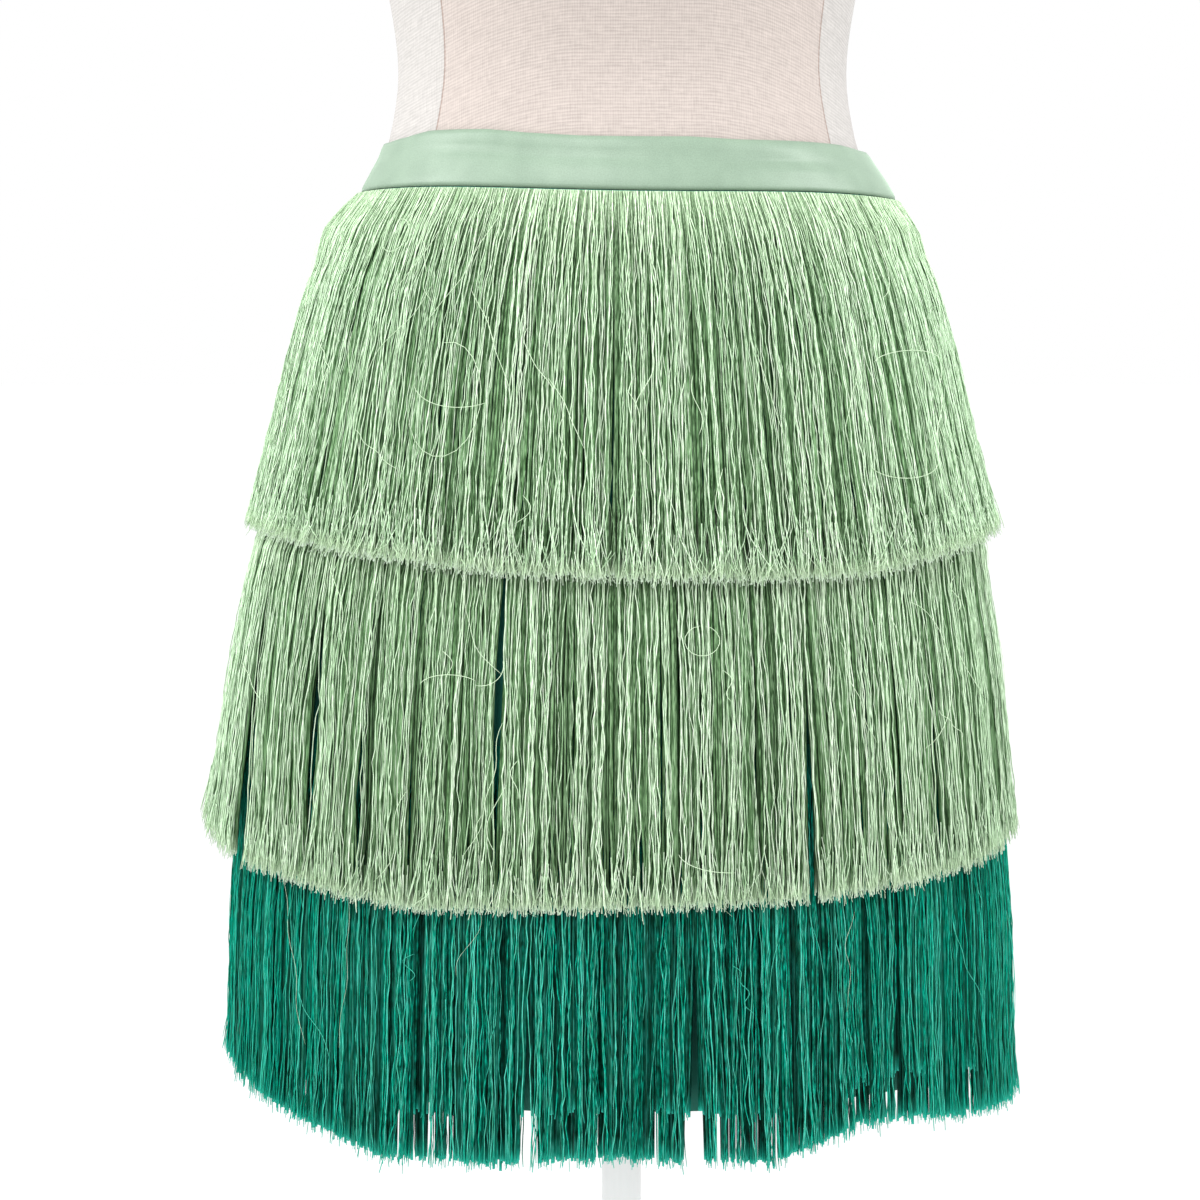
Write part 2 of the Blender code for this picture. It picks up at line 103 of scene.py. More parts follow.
GARMENT_SECTIONS = (
    # z, half_width, front, back
    (0.507, 0.2025, 0.1440, 0.1500),
    (0.600, 0.2000, 0.1410, 0.1480),
    (0.700, 0.1960, 0.1360, 0.1460),
    (0.800, 0.1870, 0.1285, 0.1415),
    (0.843, 0.1815, 0.1245, 0.1385),
    (0.880, 0.1745, 0.1225, 0.1345),
    (0.920, 0.1645, 0.1190, 0.1275),
    (0.951, 0.1525, 0.1130, 0.1170),
    (0.974, 0.1410, 0.1069, 0.1069),
    (1.004, 0.1269, 0.0969, 0.0969),
    (1.040, 0.1217, 0.0914, 0.0909),
)
BAND_DIP = (
    # bearing in degrees, how much lower the waistband's top edge is there in mm
    (-180, 0), (-120, 2.0), (-90, 3.6), (-74, 4.0), (-62, 2.7), (-52, 0.3), (-33, 0), (-23, 1.4),
    (-10, 2.2), (15, 1.8), (27, 3.2), (60, 3.2), (72, 4.4), (90, 4.0), (120, 2.0), (180, 0),
)
HEM_RISES = {
    # fringe: bearing in degrees, rise in mm
    "fringe_top": (
        (-180, 8), (-120, 18), (-90, 21), (-67, 16.5), (-54, 12.6), (-36, 8), (-20, 3), (0, 0),
        (28, -1), (40, 0), (52, 6), (60, 9.5), (72, 13), (90, 21), (120, 18), (180, 8),
    ),
    "fringe_middle": (
        (-180, 4), (-120, 15), (-90, 25), (-77, 15), (-66, 7), (-50, 3), (-31, -4), (0, 0),
        (27, 1.5), (34, 3), (47, 5), (57, 8), (66, 11), (78, 16), (90, 19), (120, 15), (180, 4),
    ),
    "fringe_bottom": (
        (-180, 0), (-120, 12), (-90, 22), (-77, 20), (-66, 12), (-52, 5), (-44, 0), (-36, -7), (-21, -5),
        (0, 0), (12, -3), (21, -5), (26, 1), (36, 9.5), (45, 9), (57, 3), (78, -2), (90, 0), (180, 0),
    ),
}
LIES = {
    # fringe: share of length, middle's offset from the cloth in mm, thickness in mm
    "fringe_top": (
        (0.00, 1.3, 2.0), (0.10, 4.6, 4.0), (0.36, 5.6, 4.2), (0.68, 7.6, 4.4), (1.00, 14.0, 4.6),
    ),
    "fringe_middle": (
        (0.00, 1.3, 2.0), (0.14, 8.0, 4.0), (0.50, 12.8, 4.4), (1.00, 17.0, 4.8),
    ),
    "fringe_bottom": (
        (0.00, 1.3, 2.0), (0.14, 7.4, 4.0), (0.50, 12.0, 4.4), (1.00, 12.6, 4.8),
    ),
}

# Where the strands of a fringe stand apart and show what is under them
PARTINGS = {
    # fringe: bearing and lean in degrees, shares where it starts, is widest and ends, half width in mm
    "fringe_top": (
        (-6.3, 0.0, 0.45, 0.70, 0.90, 1.0),
        (43.5, 0.6, 0.40, 0.55, 0.72, 1.2),
        (-28.0, 0.5, 0.50, 0.72, 0.92, 0.7),
        (16.0, -0.4, 0.35, 0.60, 0.85, 0.7),
    ),
    "fringe_middle": (
        (-18.0, 0.3, 0.02, 0.45, 0.98, 2.6),
        (27.4, -0.6, 0.35, 0.97, 1.30, 3.0),
        (-68.8, 1.8, 0.20, 0.90, 1.40, 7.4),
        (-50.0, 0.2, 0.36, 0.60, 0.95, 4.6),
        (-39.8, 0.2, 0.58, 0.78, 0.96, 2.8),
        (5.3, 0.0, 0.20, 0.60, 0.95, 1.3),
        (-31.0, 0.0, 0.60, 0.90, 1.20, 1.1),
        (53.6, 0.3, 0.46, 0.58, 0.70, 1.5),
        (150.0, 0.4, 0.30, 0.80, 1.20, 2.0),
        (-128.0, -0.4, 0.25, 0.60, 0.95, 1.8),
    ),
    "fringe_bottom": (
        (9.8, 0.0, 0.55, 0.97, 1.30, 3.8),
        (-13.3, 0.0, 0.60, 0.97, 1.30, 2.6),
        (-28.0, 0.2, 0.55, 0.93, 1.20, 1.8),
        (4.4, 0.0, 0.70, 0.95, 1.20, 1.3),
        (22.0, 0.0, 0.70, 0.90, 1.05, 1.5),
        (41.8, 0.2, 0.66, 0.90, 1.04, 2.2),
        (61.9, -0.3, 0.70, 0.92, 1.03, 3.2),
        (125.0, 0.0, 0.60, 0.95, 1.30, 2.6),
        (-150.0, 0.3, 0.65, 0.96, 1.25, 2.4),
        (-95.0, 0.0, 0.70, 0.95, 1.20, 1.8),
    ),
}
SPARSE_SPOTS = (
    # in the bottom fringe: bearing and half width in degrees, share of the strands that end early there
    (-31.0, 2.4, 0.35),
    (-27.3, 0.7, 0.80),
    (-24.5, 0.9, 0.55),
    (-13.0, 0.9, 0.85),
    (-9.0, 3.0, 0.40),
    (-3.5, 0.7, 0.45),
    (5.4, 1.9, 0.45),
    (9.6, 0.7, 0.95),
    (12.6, 0.7, 0.80),
    (16.2, 2.8, 0.40),
    (21.3, 0.5, 0.85),
    (34.3, 1.7, 0.50),
    (40.6, 1.4, 0.80),
    (45.6, 1.8, 0.50),
    (59.4, 1.6, 0.85),
    (97.0, 2.0, 0.60),
    (131.0, 1.2, 0.80),
    (-168.0, 1.8, 0.55),
    (-139.0, 1.0, 0.80),
    (-104.0, 1.6, 0.50),
)
EARLY_ENDS = 24 * MM


# Surfaces

def clamp(values):
    """The values kept between 0 and 1."""
    return np.clip(values, 0, 1)


def half_turn(angles):
    """The same angles between half a turn back and half a turn on."""
    return np.remainder(angles + math.pi, 2 * math.pi) - math.pi


def unit(vectors):
    """The same directions with a length of 1."""
    return vectors / np.linalg.norm(vectors, axis=-1, keepdims=True)


def smooth_profile(table):
    """A function of height that runs smoothly through the table's rows without overshooting them."""
    rows = np.array(table, float)
    heights, values = rows[:, 0], rows[:, 1:]
    steps = np.diff(heights)[:, None]
    slopes = np.diff(values, axis=0) / steps
    before, after = slopes[:-1], slopes[1:]
    same_way = before * after > 0
    total = np.where(same_way, before + after, 1.0)
    between = np.where(same_way, 2 * before * after / total, 0.0)
    tangents = np.concatenate([slopes[:1], between, slopes[-1:]])

    def at(height):
        height = np.asarray(height, float)
        i = np.clip(np.searchsorted(heights, height) - 1, 0, len(steps) - 1)
        step = steps[i]
        t = (height - heights[i])[..., None] / step
        rise = t * t * (3 - 2 * t)
        start_pull = t * (1 - t) ** 2 * step
        end_pull = -t * t * (1 - t) * step
        blend = (1 - rise) * values[i] + rise * values[i + 1]
        blend = blend + start_pull * tangents[i] + end_pull * tangents[i + 1]
        return np.moveaxis(blend, -1, 0)

    return at


form_section = smooth_profile(FORM_SECTIONS)
garment_section = smooth_profile(GARMENT_SECTIONS)


def round_body(table, bearing):
    """Lengths from a table of bearings in degrees and lengths in mm."""
    rows = np.array(table)
    return np.interp(np.degrees(half_turn(bearing)), rows[:, 0], rows[:, 1]) * MM


def garment_lift(bearing, z):
    """How much higher the cloth sits at a bearing, where the waist is tilted, arched and dips."""
    share = clamp((z - TILT_ENDS_Z) / (TILT_FULL_Z - TILT_ENDS_Z))
    lift = share * (WAIST_ARCH * np.sin(2 * bearing) ** 2 - WAIST_TILT * np.sin(bearing))
    return lift - round_body(BAND_DIP, bearing) * np.clip((z - SEAM_Z) / BAND_HEIGHT, 0, None)


def garment_ease(bearing, z):
    """How far the waist stands off the form at +X."""
    rise = clamp((z - EASE_LOW_Z) / (EASE_HIGH_Z - EASE_LOW_Z))
    return WAIST_EASE * np.sin(math.pi * rise) * clamp(np.sin(bearing)) ** 2


def garment_axes(bearing, z):
    """Half width and depth of the garment surface at arrays of bearings and heights."""
    half_width, front, back = garment_section(z + garment_lift(bearing, z))
    return half_width, np.where(np.cos(bearing) > 0, front, back)


def garment_place(bearing, z, offset):
    """Points on the garment surface moved outwards by offset, and the outward directions there."""
    bearing, z, offset = np.broadcast_arrays(bearing, z, offset)
    half_width, depth = garment_axes(bearing, z)
    lifted = z + garment_lift(bearing, z)
    points = np.stack([half_width * np.sin(bearing), -depth * np.cos(bearing), lifted], axis=-1)
    outwards = unit(np.stack([np.sin(bearing) / half_width, -np.cos(bearing) / depth, 0 * z], axis=-1))
    return points + outwards * (offset + garment_ease(bearing, z))[..., None], outwards


def metres_per_radian(bearing, z):
    """How far a point moves along the garment for each radian of bearing."""
    half_width, depth = garment_axes(bearing, z)
    return np.hypot(half_width * np.cos(bearing), depth * np.sin(bearing))


def even_bearings(shares, z, start, end):
    """Bearings at these shares of the way along the cloth from start to end, at height z."""
    fine = np.linspace(start, end, 2881)
    points = garment_place(fine, np.full_like(fine, z), CLOTH_WALL)[0]
    run = np.concatenate([[0.0], np.cumsum(np.linalg.norm(np.diff(points, axis=0), axis=1))])
    return np.interp(np.asarray(shares) * run[-1], run, fine), run[-1]


def back_edge(half_gap, z):
    """The bearing at which an edge runs half_gap to the +X side of centre back."""
    return math.pi - half_gap / garment_section(z)[0]


def form_axes(bearing, z):
    """Half width and depth of the dress form at arrays of bearings and heights."""
    half_width, front, back = form_section(z)
    return half_width, np.where(np.cos(bearing) > 0, front, back)


def form_place(bearing, z):
    """Points of the dress form, with its bust and its flat arm plates."""
    half_width, depth = form_axes(bearing, z)
    x = half_width * np.sin(bearing)
    y = -depth * np.cos(bearing)
    across = (np.abs(x) - BUST_X) / BUST_SPREAD_X
    up = (z - BUST_Z) / BUST_SPREAD_Z
    y -= BUST_RISE * clamp(np.cos(bearing)) * np.exp(-(across**2 + up**2) / 2)
    return np.stack([np.clip(x, -ARM_PLATE_X, ARM_PLATE_X), y, z + 0 * x], axis=-1)


# Mesh helpers

def new_mesh(name, points, quads, triangles=None, attributes=None, uv=None):
    """A mesh from arrays, smooth but for its triangles.

    attributes are numbers for each point; uv is a pair for each corner.
    """
    triangles = np.zeros((0, 3), int) if triangles is None else triangles
    corners = np.concatenate([quads.ravel(), triangles.ravel()]).astype(np.int32)
    starts = np.concatenate([
        np.arange(len(quads)) * 4,
        len(quads) * 4 + np.arange(len(triangles)) * 3,
    ]).astype(np.int32)
    mesh = bpy.data.meshes.new(name)
    mesh.vertices.add(len(points))
    mesh.vertices.foreach_set("co", np.asarray(points, np.float32).ravel())
    mesh.loops.add(len(corners))
    mesh.loops.foreach_set("vertex_index", corners)
    mesh.polygons.add(len(starts))
    mesh.polygons.foreach_set("loop_start", starts)
    mesh.update(calc_edges=True)
    for key, values in (attributes or {}).items():
        data = mesh.attributes.new(key, "FLOAT", "POINT")
        data.data.foreach_set("value", np.asarray(values, np.float32).ravel())
    if uv is not None:
        layer = mesh.uv_layers.new(name="OFBake")
        layer.data.foreach_set("uv", np.asarray(uv, np.float32).ravel())
    mesh.polygons.foreach_set("use_smooth", np.arange(len(starts)) < len(quads))
    return mesh


def new_object(name, data):
    """An object that is in the scene."""
    made = bpy.data.objects.new(name, data)
    bpy.context.scene.collection.objects.link(made)
    return made


def new_piece(name, mesh, material, replaced=None):
    """An object that rides with the skirt, with its material, which hides what it replaces."""
    piece = new_object(name, mesh)
    mesh.materials.append(material)
    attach(piece, SKIRT)
    if replaced:
        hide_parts(replaced)
    return piece


def swept_mesh(name, section_points, attributes):
    """A closed body from an array of sections: [point round the section, column along, xyz]."""
    rows, columns = section_points.shape[:2]
    here = np.arange(rows * columns).reshape(rows, columns)
    below = np.roll(here, -1, axis=0)
    quads = [np.stack([here[:, :-1], here[:, 1:], below[:, 1:], below[:, :-1]], axis=-1).reshape(-1, 4)]
    k = np.arange(rows // 2 - 1)
    for ring, order in ((here[:, 0], 1), (here[:, -1], -1)):
        cap = np.stack([ring[k], ring[k + 1], ring[rows - 2 - k], ring[rows - 1 - k]], axis=-1)
        quads.append(cap[:, ::order])
    return new_mesh(name, section_points.reshape(-1, 3), np.concatenate(quads), attributes=attributes)


# Material helpers

def as_colour(value):
    """A colour with its alpha. A number stands for a grey."""
    return (*value, 1.0) if isinstance(value, tuple) else (value, value, value, 1.0)


class Nodes:
    """Short calls that add nodes to a new material. Most return an output of the new node."""

    def __init__(self, name):
        self.material = bpy.data.materials.new(name)
        self.material.use_nodes = True
        self.tree = self.material.node_tree
        self.shader = self.tree.nodes["Principled BSDF"]

    def put(self, value, socket):
        """Links what another node gives to a socket, or sets the socket to a number or a colour."""
        if isinstance(value, bpy.types.NodeSocket):
            self.tree.links.new(value, socket)
        elif socket.type == "RGBA":
            socket.default_value = as_colour(value)
        else:
            socket.default_value = value

    def add(self, kind, output=0, inputs=None, **settings):
        """An output of a new node with these settings and inputs."""
        node = self.tree.nodes.new(kind)
        for key, value in settings.items():
            setattr(node, key, value)
        for key, value in (inputs or {}).items():
            self.put(value, node.inputs[key])
        return node.outputs[output]

    def attribute(self, name):
        return self.add("ShaderNodeAttribute", "Fac", attribute_name=name)

    def cloth_place(self):
        return self.vector(self.attribute("cloth_u"), self.attribute("cloth_v"))

    def math(self, operation, first, second=0.0, clamp=False):
        return self.add(
            "ShaderNodeMath", 0, {0: first, 1: second}, operation=operation, use_clamp=clamp
        )

    def times(self, first, second):
        return self.math("MULTIPLY", first, second)

    def plus(self, first, second):
        return self.math("ADD", first, second)

    def vector(self, x=0.0, y=0.0, z=0.0):
        return self.add("ShaderNodeCombineXYZ", 0, {0: x, 1: y, 2: z})

    def noise(self, place, scale, detail=2.0, roughness=0.5, distortion=0.0):
        return self.add("ShaderNodeTexNoise", "Fac", {
            "Vector": place, "Scale": scale, "Detail": detail, "Roughness": roughness,
            "Distortion": distortion,
        })

    def ramp(self, value, *stops):
        """The colour for a value, from stops that each have a position and a colour."""
        node = self.tree.nodes.new("ShaderNodeValToRGB")
        self.put(value, node.inputs["Fac"])
        elements = node.color_ramp.elements
        while len(elements) < len(stops):
            elements.new(0.5)
        for element, (position, colour) in zip(elements, stops):
            element.position = position
            element.color = as_colour(colour)
        return node.outputs["Color"]

    def mix(self, share, first, second, blend_type="MIX"):
        inputs = {0: share, 6: first, 7: second}
        return self.add("ShaderNodeMix", 2, inputs, data_type="RGBA", blend_type=blend_type)

    def object_place(self, scale=(1.0, 1.0, 1.0)):
        """The object's own coordinates, with a scale along each axis."""
        place = self.add("ShaderNodeTexCoord", "Object")
        return self.add("ShaderNodeMapping", 0, {"Vector": place, "Scale": scale})

    def bump(self, height, strength, distance):
        inputs = {"Strength": strength, "Distance": distance, "Height": height}
        self.put(self.add("ShaderNodeBump", "Normal", inputs), self.shader.inputs["Normal"])

    def colour(self, source):
        self.put(source, self.shader.inputs["Base Color"])

    def set(self, **values):
        """Sets the shader's own sockets, such as Roughness=0.5 or Sheen_Weight=0.2."""
        for key, value in values.items():
            self.shader.inputs[key.replace("_", " ")].default_value = value


# Materials

THREAD_WIDTH = 0.8 * MM
THREAD_LENGTH = 15 * MM
TEAL_PITCH = 0.7 * MM
WEFT_PITCH = 1.75 * MM
WARP_PITCH = 1.30 * MM
SEAM_SHADE = (0.68, 0.59, 0.55)
SEAM_GROOVE = 1.5 * MM
STITCH_PITCH = 3.2 * MM
# The form's weft threads fall away to the sides: how far off centre front, over how far, and how deep
PULL_STARTS = 0.030
PULL_REACH = 0.140
PULL_FALL = 0.030


def strand_material(name, dark, middle, light, tip, cut_end, shadow, half_shadow, specular, hem_light):
    """Silky strands: each has its own tone, with painted shade and highlight along it; the roots are painted
    paler as if lit from above, the cut ends are paler, deep strands get painted shade, and the sides less
    painted shade and highlight.
    """
    nodes = Nodes(name)
    along, chance, depth = (nodes.attribute(key) for key in ("along", "chance", "depth"))
    # Painted shade and highlight: light and dark along each strand where it dives and twists, added to each
    # strand's own tone at random
    twist_shade_and_glint = nodes.noise(nodes.vector(nodes.times(chance, 900.0), nodes.times(along, 42.0)), 1.0, detail=1.0)
    shade = nodes.plus(nodes.times(chance, 0.6), nodes.times(twist_shade_and_glint, 0.9))
    shade = nodes.math("SUBTRACT", shade, 0.25)
    base = nodes.ramp(shade, (0.16, dark), (0.43, middle), (0.73, light))
    # Painted light: towards the sides, where the light falls flatter, the painted highlights and darks are
    # drawn to the middle colour
    base = nodes.mix(nodes.times(nodes.attribute("side"), 0.55), base, middle)
    # Dark streaks at random, darker on deep strands: random tone with painted shade by depth
    thread_scale = (1 / THREAD_WIDTH, 1 / THREAD_WIDTH, 1 / THREAD_LENGTH)
    threads = nodes.noise(nodes.object_place(thread_scale), 1.0, detail=1.0)
    streak_tone_and_depth_shade = nodes.ramp(depth, (0.45, (0.26, 0.34, 0.25)), (0.70, (0.60, 0.67, 0.58)))
    threads = nodes.mix(nodes.ramp(threads, (0.40, 0.0), (0.58, 1.0)), streak_tone_and_depth_shade, 1.0)
    base = nodes.mix(1.0, base, threads, "MULTIPLY")
    base = nodes.mix(nodes.ramp(along, (0.945, 0.0), (0.985, 0.5), (1.0, 1.0)), base, tip)
    base = nodes.mix(nodes.ramp(along, (0.988, 0.0), (1.0, 0.85)), base, cut_end)
    # Painted light: the roots are paler, as if lit from above where the cloth bulges up under the waistband
    base = nodes.mix(nodes.ramp(along, (0.04, 1.0), (0.30, 0.0)), base, nodes.mix(0.30, base, tip))
    # Painted shade: deep strands darker, less so near the roots and at the hem (hem_light)
    deep = nodes.ramp(depth, (0.0, shadow), (0.50, half_shadow), (0.62, 0.82), (0.85, 1.0))
    deep = nodes.mix(nodes.ramp(along, (0.02, 0.5), (0.16, 0.0)), deep, 1.0)
    deep = nodes.mix(nodes.ramp(along, (0.94, 0.0), (0.988, hem_light), (1.0, 1.0)), deep, 1.0)
    nodes.colour(nodes.mix(1.0, base, deep, "MULTIPLY"))
    nodes.set(Roughness=0.42, Specular_IOR_Level=specular)
    return nodes.material


def satin_material():
    """Crepe-backed satin: a very fine grain, a soft sheen and a little mottling."""
    nodes = Nodes("mint_satin")
    grain = nodes.noise(nodes.cloth_place(), 1300.0)
    mottle = nodes.noise(nodes.cloth_place(), 60.0)
    base = nodes.ramp(mottle, (0.3, (0.196, 0.278, 0.205)), (0.7, (0.226, 0.315, 0.234)))
    nodes.colour(nodes.mix(0.14, base, nodes.ramp(grain, (0.3, 0.2), (0.7, 0.9)), "OVERLAY"))
    nodes.bump(grain, 0.25, 0.15 * MM)
    nodes.set(Roughness=0.48, Sheen_Weight=0.60, Sheen_Roughness=0.30, Sheen_Tint=(0.75, 1.0, 0.78, 1.0))
    return nodes.material


def teal_material():
    """The plain woven cloth under the fringe."""
    nodes = Nodes("teal_cloth")
    warp, weft = (
        nodes.math("ABSOLUTE", nodes.math("SINE", nodes.times(nodes.attribute(key), math.pi / TEAL_PITCH)))
        for key in ("cloth_u", "cloth_v")
    )
    weave = nodes.math("MAXIMUM", warp, weft)
    mottle = nodes.noise(nodes.cloth_place(), 45.0)
    base = nodes.ramp(mottle, (0.3, (0.003, 0.165, 0.118)), (0.7, (0.005, 0.210, 0.150)))
    nodes.colour(nodes.mix(0.25, base, nodes.ramp(weave, (0.2, 0.2), (1.0, 1.0)), "MULTIPLY"))
    nodes.bump(weave, 0.3, 0.15 * MM)
    nodes.set(Roughness=0.75, Sheen_Weight=0.1)
    return nodes.material


def thread_lines(nodes, place, cloud_place, pitch):
    """Uneven wavy lines a pitch apart, from 0 between threads to 1 on them."""
    slub = nodes.noise(cloud_place, 900.0, detail=3.0)
    phase = nodes.plus(nodes.times(place, 2 * math.pi / pitch), nodes.times(slub, 6.5))
    return nodes.plus(slub, nodes.times(nodes.math("SINE", phase), 0.21))


def linen_material():
    """Natural linen on the form: uneven weft threads, and fine seams between its panels."""
    nodes = Nodes("form_linen")
    u, v = nodes.attribute("cloth_u"), nodes.attribute("cloth_v")
    pulled = nodes.math("SUBTRACT", nodes.math("ABSOLUTE", u), PULL_STARTS)
    pulled = nodes.math("DIVIDE", pulled, PULL_REACH, clamp=True)
    rise = nodes.math("COSINE", nodes.times(pulled, math.pi))
    weft = nodes.math("SUBTRACT", v, nodes.times(rise, PULL_FALL / 2))
    threads = thread_lines(nodes, weft, nodes.vector(nodes.times(u, 0.12), weft), WEFT_PITCH)
    across = thread_lines(nodes, u, nodes.vector(u, nodes.times(v, 0.15)), WARP_PITCH)
    threads = nodes.plus(nodes.times(threads, 0.58), nodes.times(across, 0.42))
    front_seam, back_seam = nodes.attribute("seam_front"), nodes.attribute("seam_back")
    side = nodes.times(
        nodes.math("GREATER_THAN", front_seam, 0.0), nodes.math("LESS_THAN", back_seam, 0.0)
    )
    base = nodes.mix(side, (0.490, 0.428, 0.394), (0.498, 0.475, 0.455))
    base = nodes.mix(1.0, base, nodes.ramp(threads, (0.25, 0.72), (0.75, 1.0)), "MULTIPLY")
    seam = nodes.math("ABSOLUTE", front_seam)
    for name in ("seam_back", "seam_side", "seam_centre"):
        seam = nodes.math("MINIMUM", seam, nodes.math("ABSOLUTE", nodes.attribute(name)))
    stitch = nodes.math("SINE", nodes.times(v, 2 * math.pi / STITCH_PITCH))
    line_width = nodes.plus(nodes.times(stitch, 0.15 * MM), 0.75 * MM)
    line = nodes.ramp(nodes.math("DIVIDE", seam, line_width), (0.45, SEAM_SHADE), (1.0, 1.0))
    nodes.colour(nodes.mix(1.0, base, line, "MULTIPLY"))
    groove = nodes.math("MINIMUM", nodes.math("DIVIDE", seam, SEAM_GROOVE), 1.0)
    nodes.bump(nodes.plus(threads, nodes.times(groove, 1.5)), 0.35, 0.4 * MM)
    nodes.set(Roughness=0.85, Sheen_Weight=0.1)
    return nodes.material


def enamel_material(name, colour, roughness):
    """Smooth enamel with a faint unevenness."""
    nodes = Nodes(name)
    cloud = nodes.noise(nodes.object_place(), 12.0, detail=3.0)
    low = tuple(0.97 * c for c in colour)
    nodes.colour(nodes.ramp(cloud, (0.3, low), (0.7, colour)))
    nodes.bump(nodes.noise(nodes.object_place(), 400.0), 0.06, 0.1 * MM)
    nodes.set(Roughness=roughness)
    return nodes.material


def wood_material():
    """Pale turned wood with rings under a satin varnish."""
    nodes = Nodes("pale_wood")
    place = nodes.object_place((1.0, 0.12, 1.0))
    grain = nodes.noise(place, 160.0, detail=5.0, roughness=0.6, distortion=0.6)
    nodes.colour(nodes.ramp(grain, (0.25, (0.42, 0.27, 0.15)), (0.75, (0.66, 0.48, 0.30))))
    nodes.bump(grain, 0.15, 0.2 * MM)
    nodes.set(Roughness=0.4, Coat_Weight=0.3)
    return nodes.material


def floor_material():
    nodes = Nodes("floor_white")
    nodes.colour(nodes.ramp(nodes.noise(nodes.object_place(), 0.7), (0.3, 0.96), (0.7, 0.98)))
    nodes.set(Roughness=0.9, Emission_Color=(1, 1, 1, 1), Emission_Strength=0.06)
    return nodes.material


# The fringe

STRAND_SIDES = 3
ZIP_CLEARANCE = 1.0 * MM
# The shares of a fringe's length at which its bulge ends and its lean is full
HUMP_ENDS = 0.2
LEAN_REACHED = 0.25
Fringe = namedtuple(
    "Fringe",
    "name slot header_z ends_z seed splay release slits layers"
    " is_open kick_mm lean_mm hump_mm side_light is_parted_below sparse_spots",
    defaults=(False, 0, 0, 0, 0.0, True, ()),
)
Slits = namedtuple("Slits", "number first_start last_start shortest longest narrow_mm wide_mm")
FRINGES = (
    Fringe(
        "fringe_top", "fringe_mint", SEAM_Z - SEAM_GAP, 0.778, seed=11, splay=1.6, release=1.0,
        slits=Slits(150, 0.25, 0.72, 0.15, 0.35, 0.35, 0.95), layers=("under", "over", "frays"),
        is_open=True, hump_mm=4.0, side_light=0.08, is_parted_below=False,
    ),
    Fringe(
        "fringe_middle", "fringe_mint", 0.8135, 0.6134, seed=22, splay=1.0, release=0.7,
        slits=Slits(170, 0.05, 0.60, 0.20, 0.50, 0.35, 0.95), layers=("under", "over", "frays"),
        kick_mm=8.5, lean_mm=2.5,
    ),
    Fringe(
        "fringe_bottom", "fringe_green", 0.6940, 0.4844, seed=33, splay=0.4, release=0.4,
        slits=Slits(150, 0.10, 0.70, 0.25, 0.60, 0.40, 1.00), layers=("backing", "over"),
        lean_mm=0.5, sparse_spots=SPARSE_SPOTS,
    ),
)
Layer = namedtuple(
    "Layer",
    "front back deepest shallowest small_pull large_pull kink_mm thin_mm thick_mm flare_from flare_mm"
    " steps first waves missing stagger short_mm tip",
    defaults=(4, 0.0, 1.0, 1.0, 0.0, 0.0, 0.7),
)
LAYERS = {
    "under": Layer(
        front=1200, back=900, deepest=-1.0, shallowest=0.0, small_pull=0.05, large_pull=0.05,
        kink_mm=0.3, thin_mm=0.50, thick_mm=0.80, flare_from=0.72, flare_mm=1.5,
        waves=0.4, short_mm=2.0, tip=0.8,
    ),
    "backing": Layer(
        front=1400, back=1100, deepest=-1.0, shallowest=0.1, small_pull=0.02, large_pull=0.02,
        kink_mm=0.2, thin_mm=0.60, thick_mm=0.90, flare_from=0.72, flare_mm=0.6,
        waves=0.0, short_mm=2.5, tip=1.0,
    ),
    "over": Layer(
        front=850, back=420, deepest=-0.4, shallowest=1.0, small_pull=0.55, large_pull=0.26,
        kink_mm=0.32, thin_mm=0.22, thick_mm=0.38, flare_from=0.78, flare_mm=2.4,
        steps=29, missing=0.6,
    ),
    "frays": Layer(
        front=650, back=300, deepest=-0.1, shallowest=1.0, small_pull=0.55, large_pull=0.26,
        kink_mm=0.3, thin_mm=0.18, thick_mm=0.30, flare_from=0.84, flare_mm=3.0,
        steps=2, first=0.90, missing=0.0, stagger=0.06,
    ),
}
CLUMPS = (
    # spacing in mm, which pull of the layer draws the strands together, stray in mm
    (3.4, "small_pull", 0.7),
    (6.5, "large_pull", 0.9),
    (14, "large_pull", 1.4),
)
WAVES = (
    # number of waves along a strand, slower and faster, and how far they go in mm
    ((9.0, 15.0), 0.70),
    ((26.0, 38.0), 0.60),
)
# How unevenly the strands end, of which a few are longer
RAGGED_SHORT = 1.2 * MM
RAGGED_EVEN = 0.9 * MM
LONG_SHARE = 0.02
LONGER = (1.5 * MM, 5 * MM)
LOOSE_SHARE = 0.12
LOOSE_FLARE = 6 * MM
# How far an outer strand stands out at its end, which starts at this share
STANDS_OUT = 1.4 * MM
STANDS_OUT_FROM = 0.72


def tubes(centres, outwards, sideways, radii, turn):
    """Rings of points round each strand's path: [strand, step, side, xyz]."""
    angles = (turn[:, None, None] + 2 * math.pi * np.arange(STRAND_SIDES) / STRAND_SIDES)[..., None]
    across = outwards[:, :, None, :] * np.cos(angles) + sideways[:, :, None, :] * np.sin(angles)
    return centres[:, :, None, :] + across * radii[:, :, None, None]


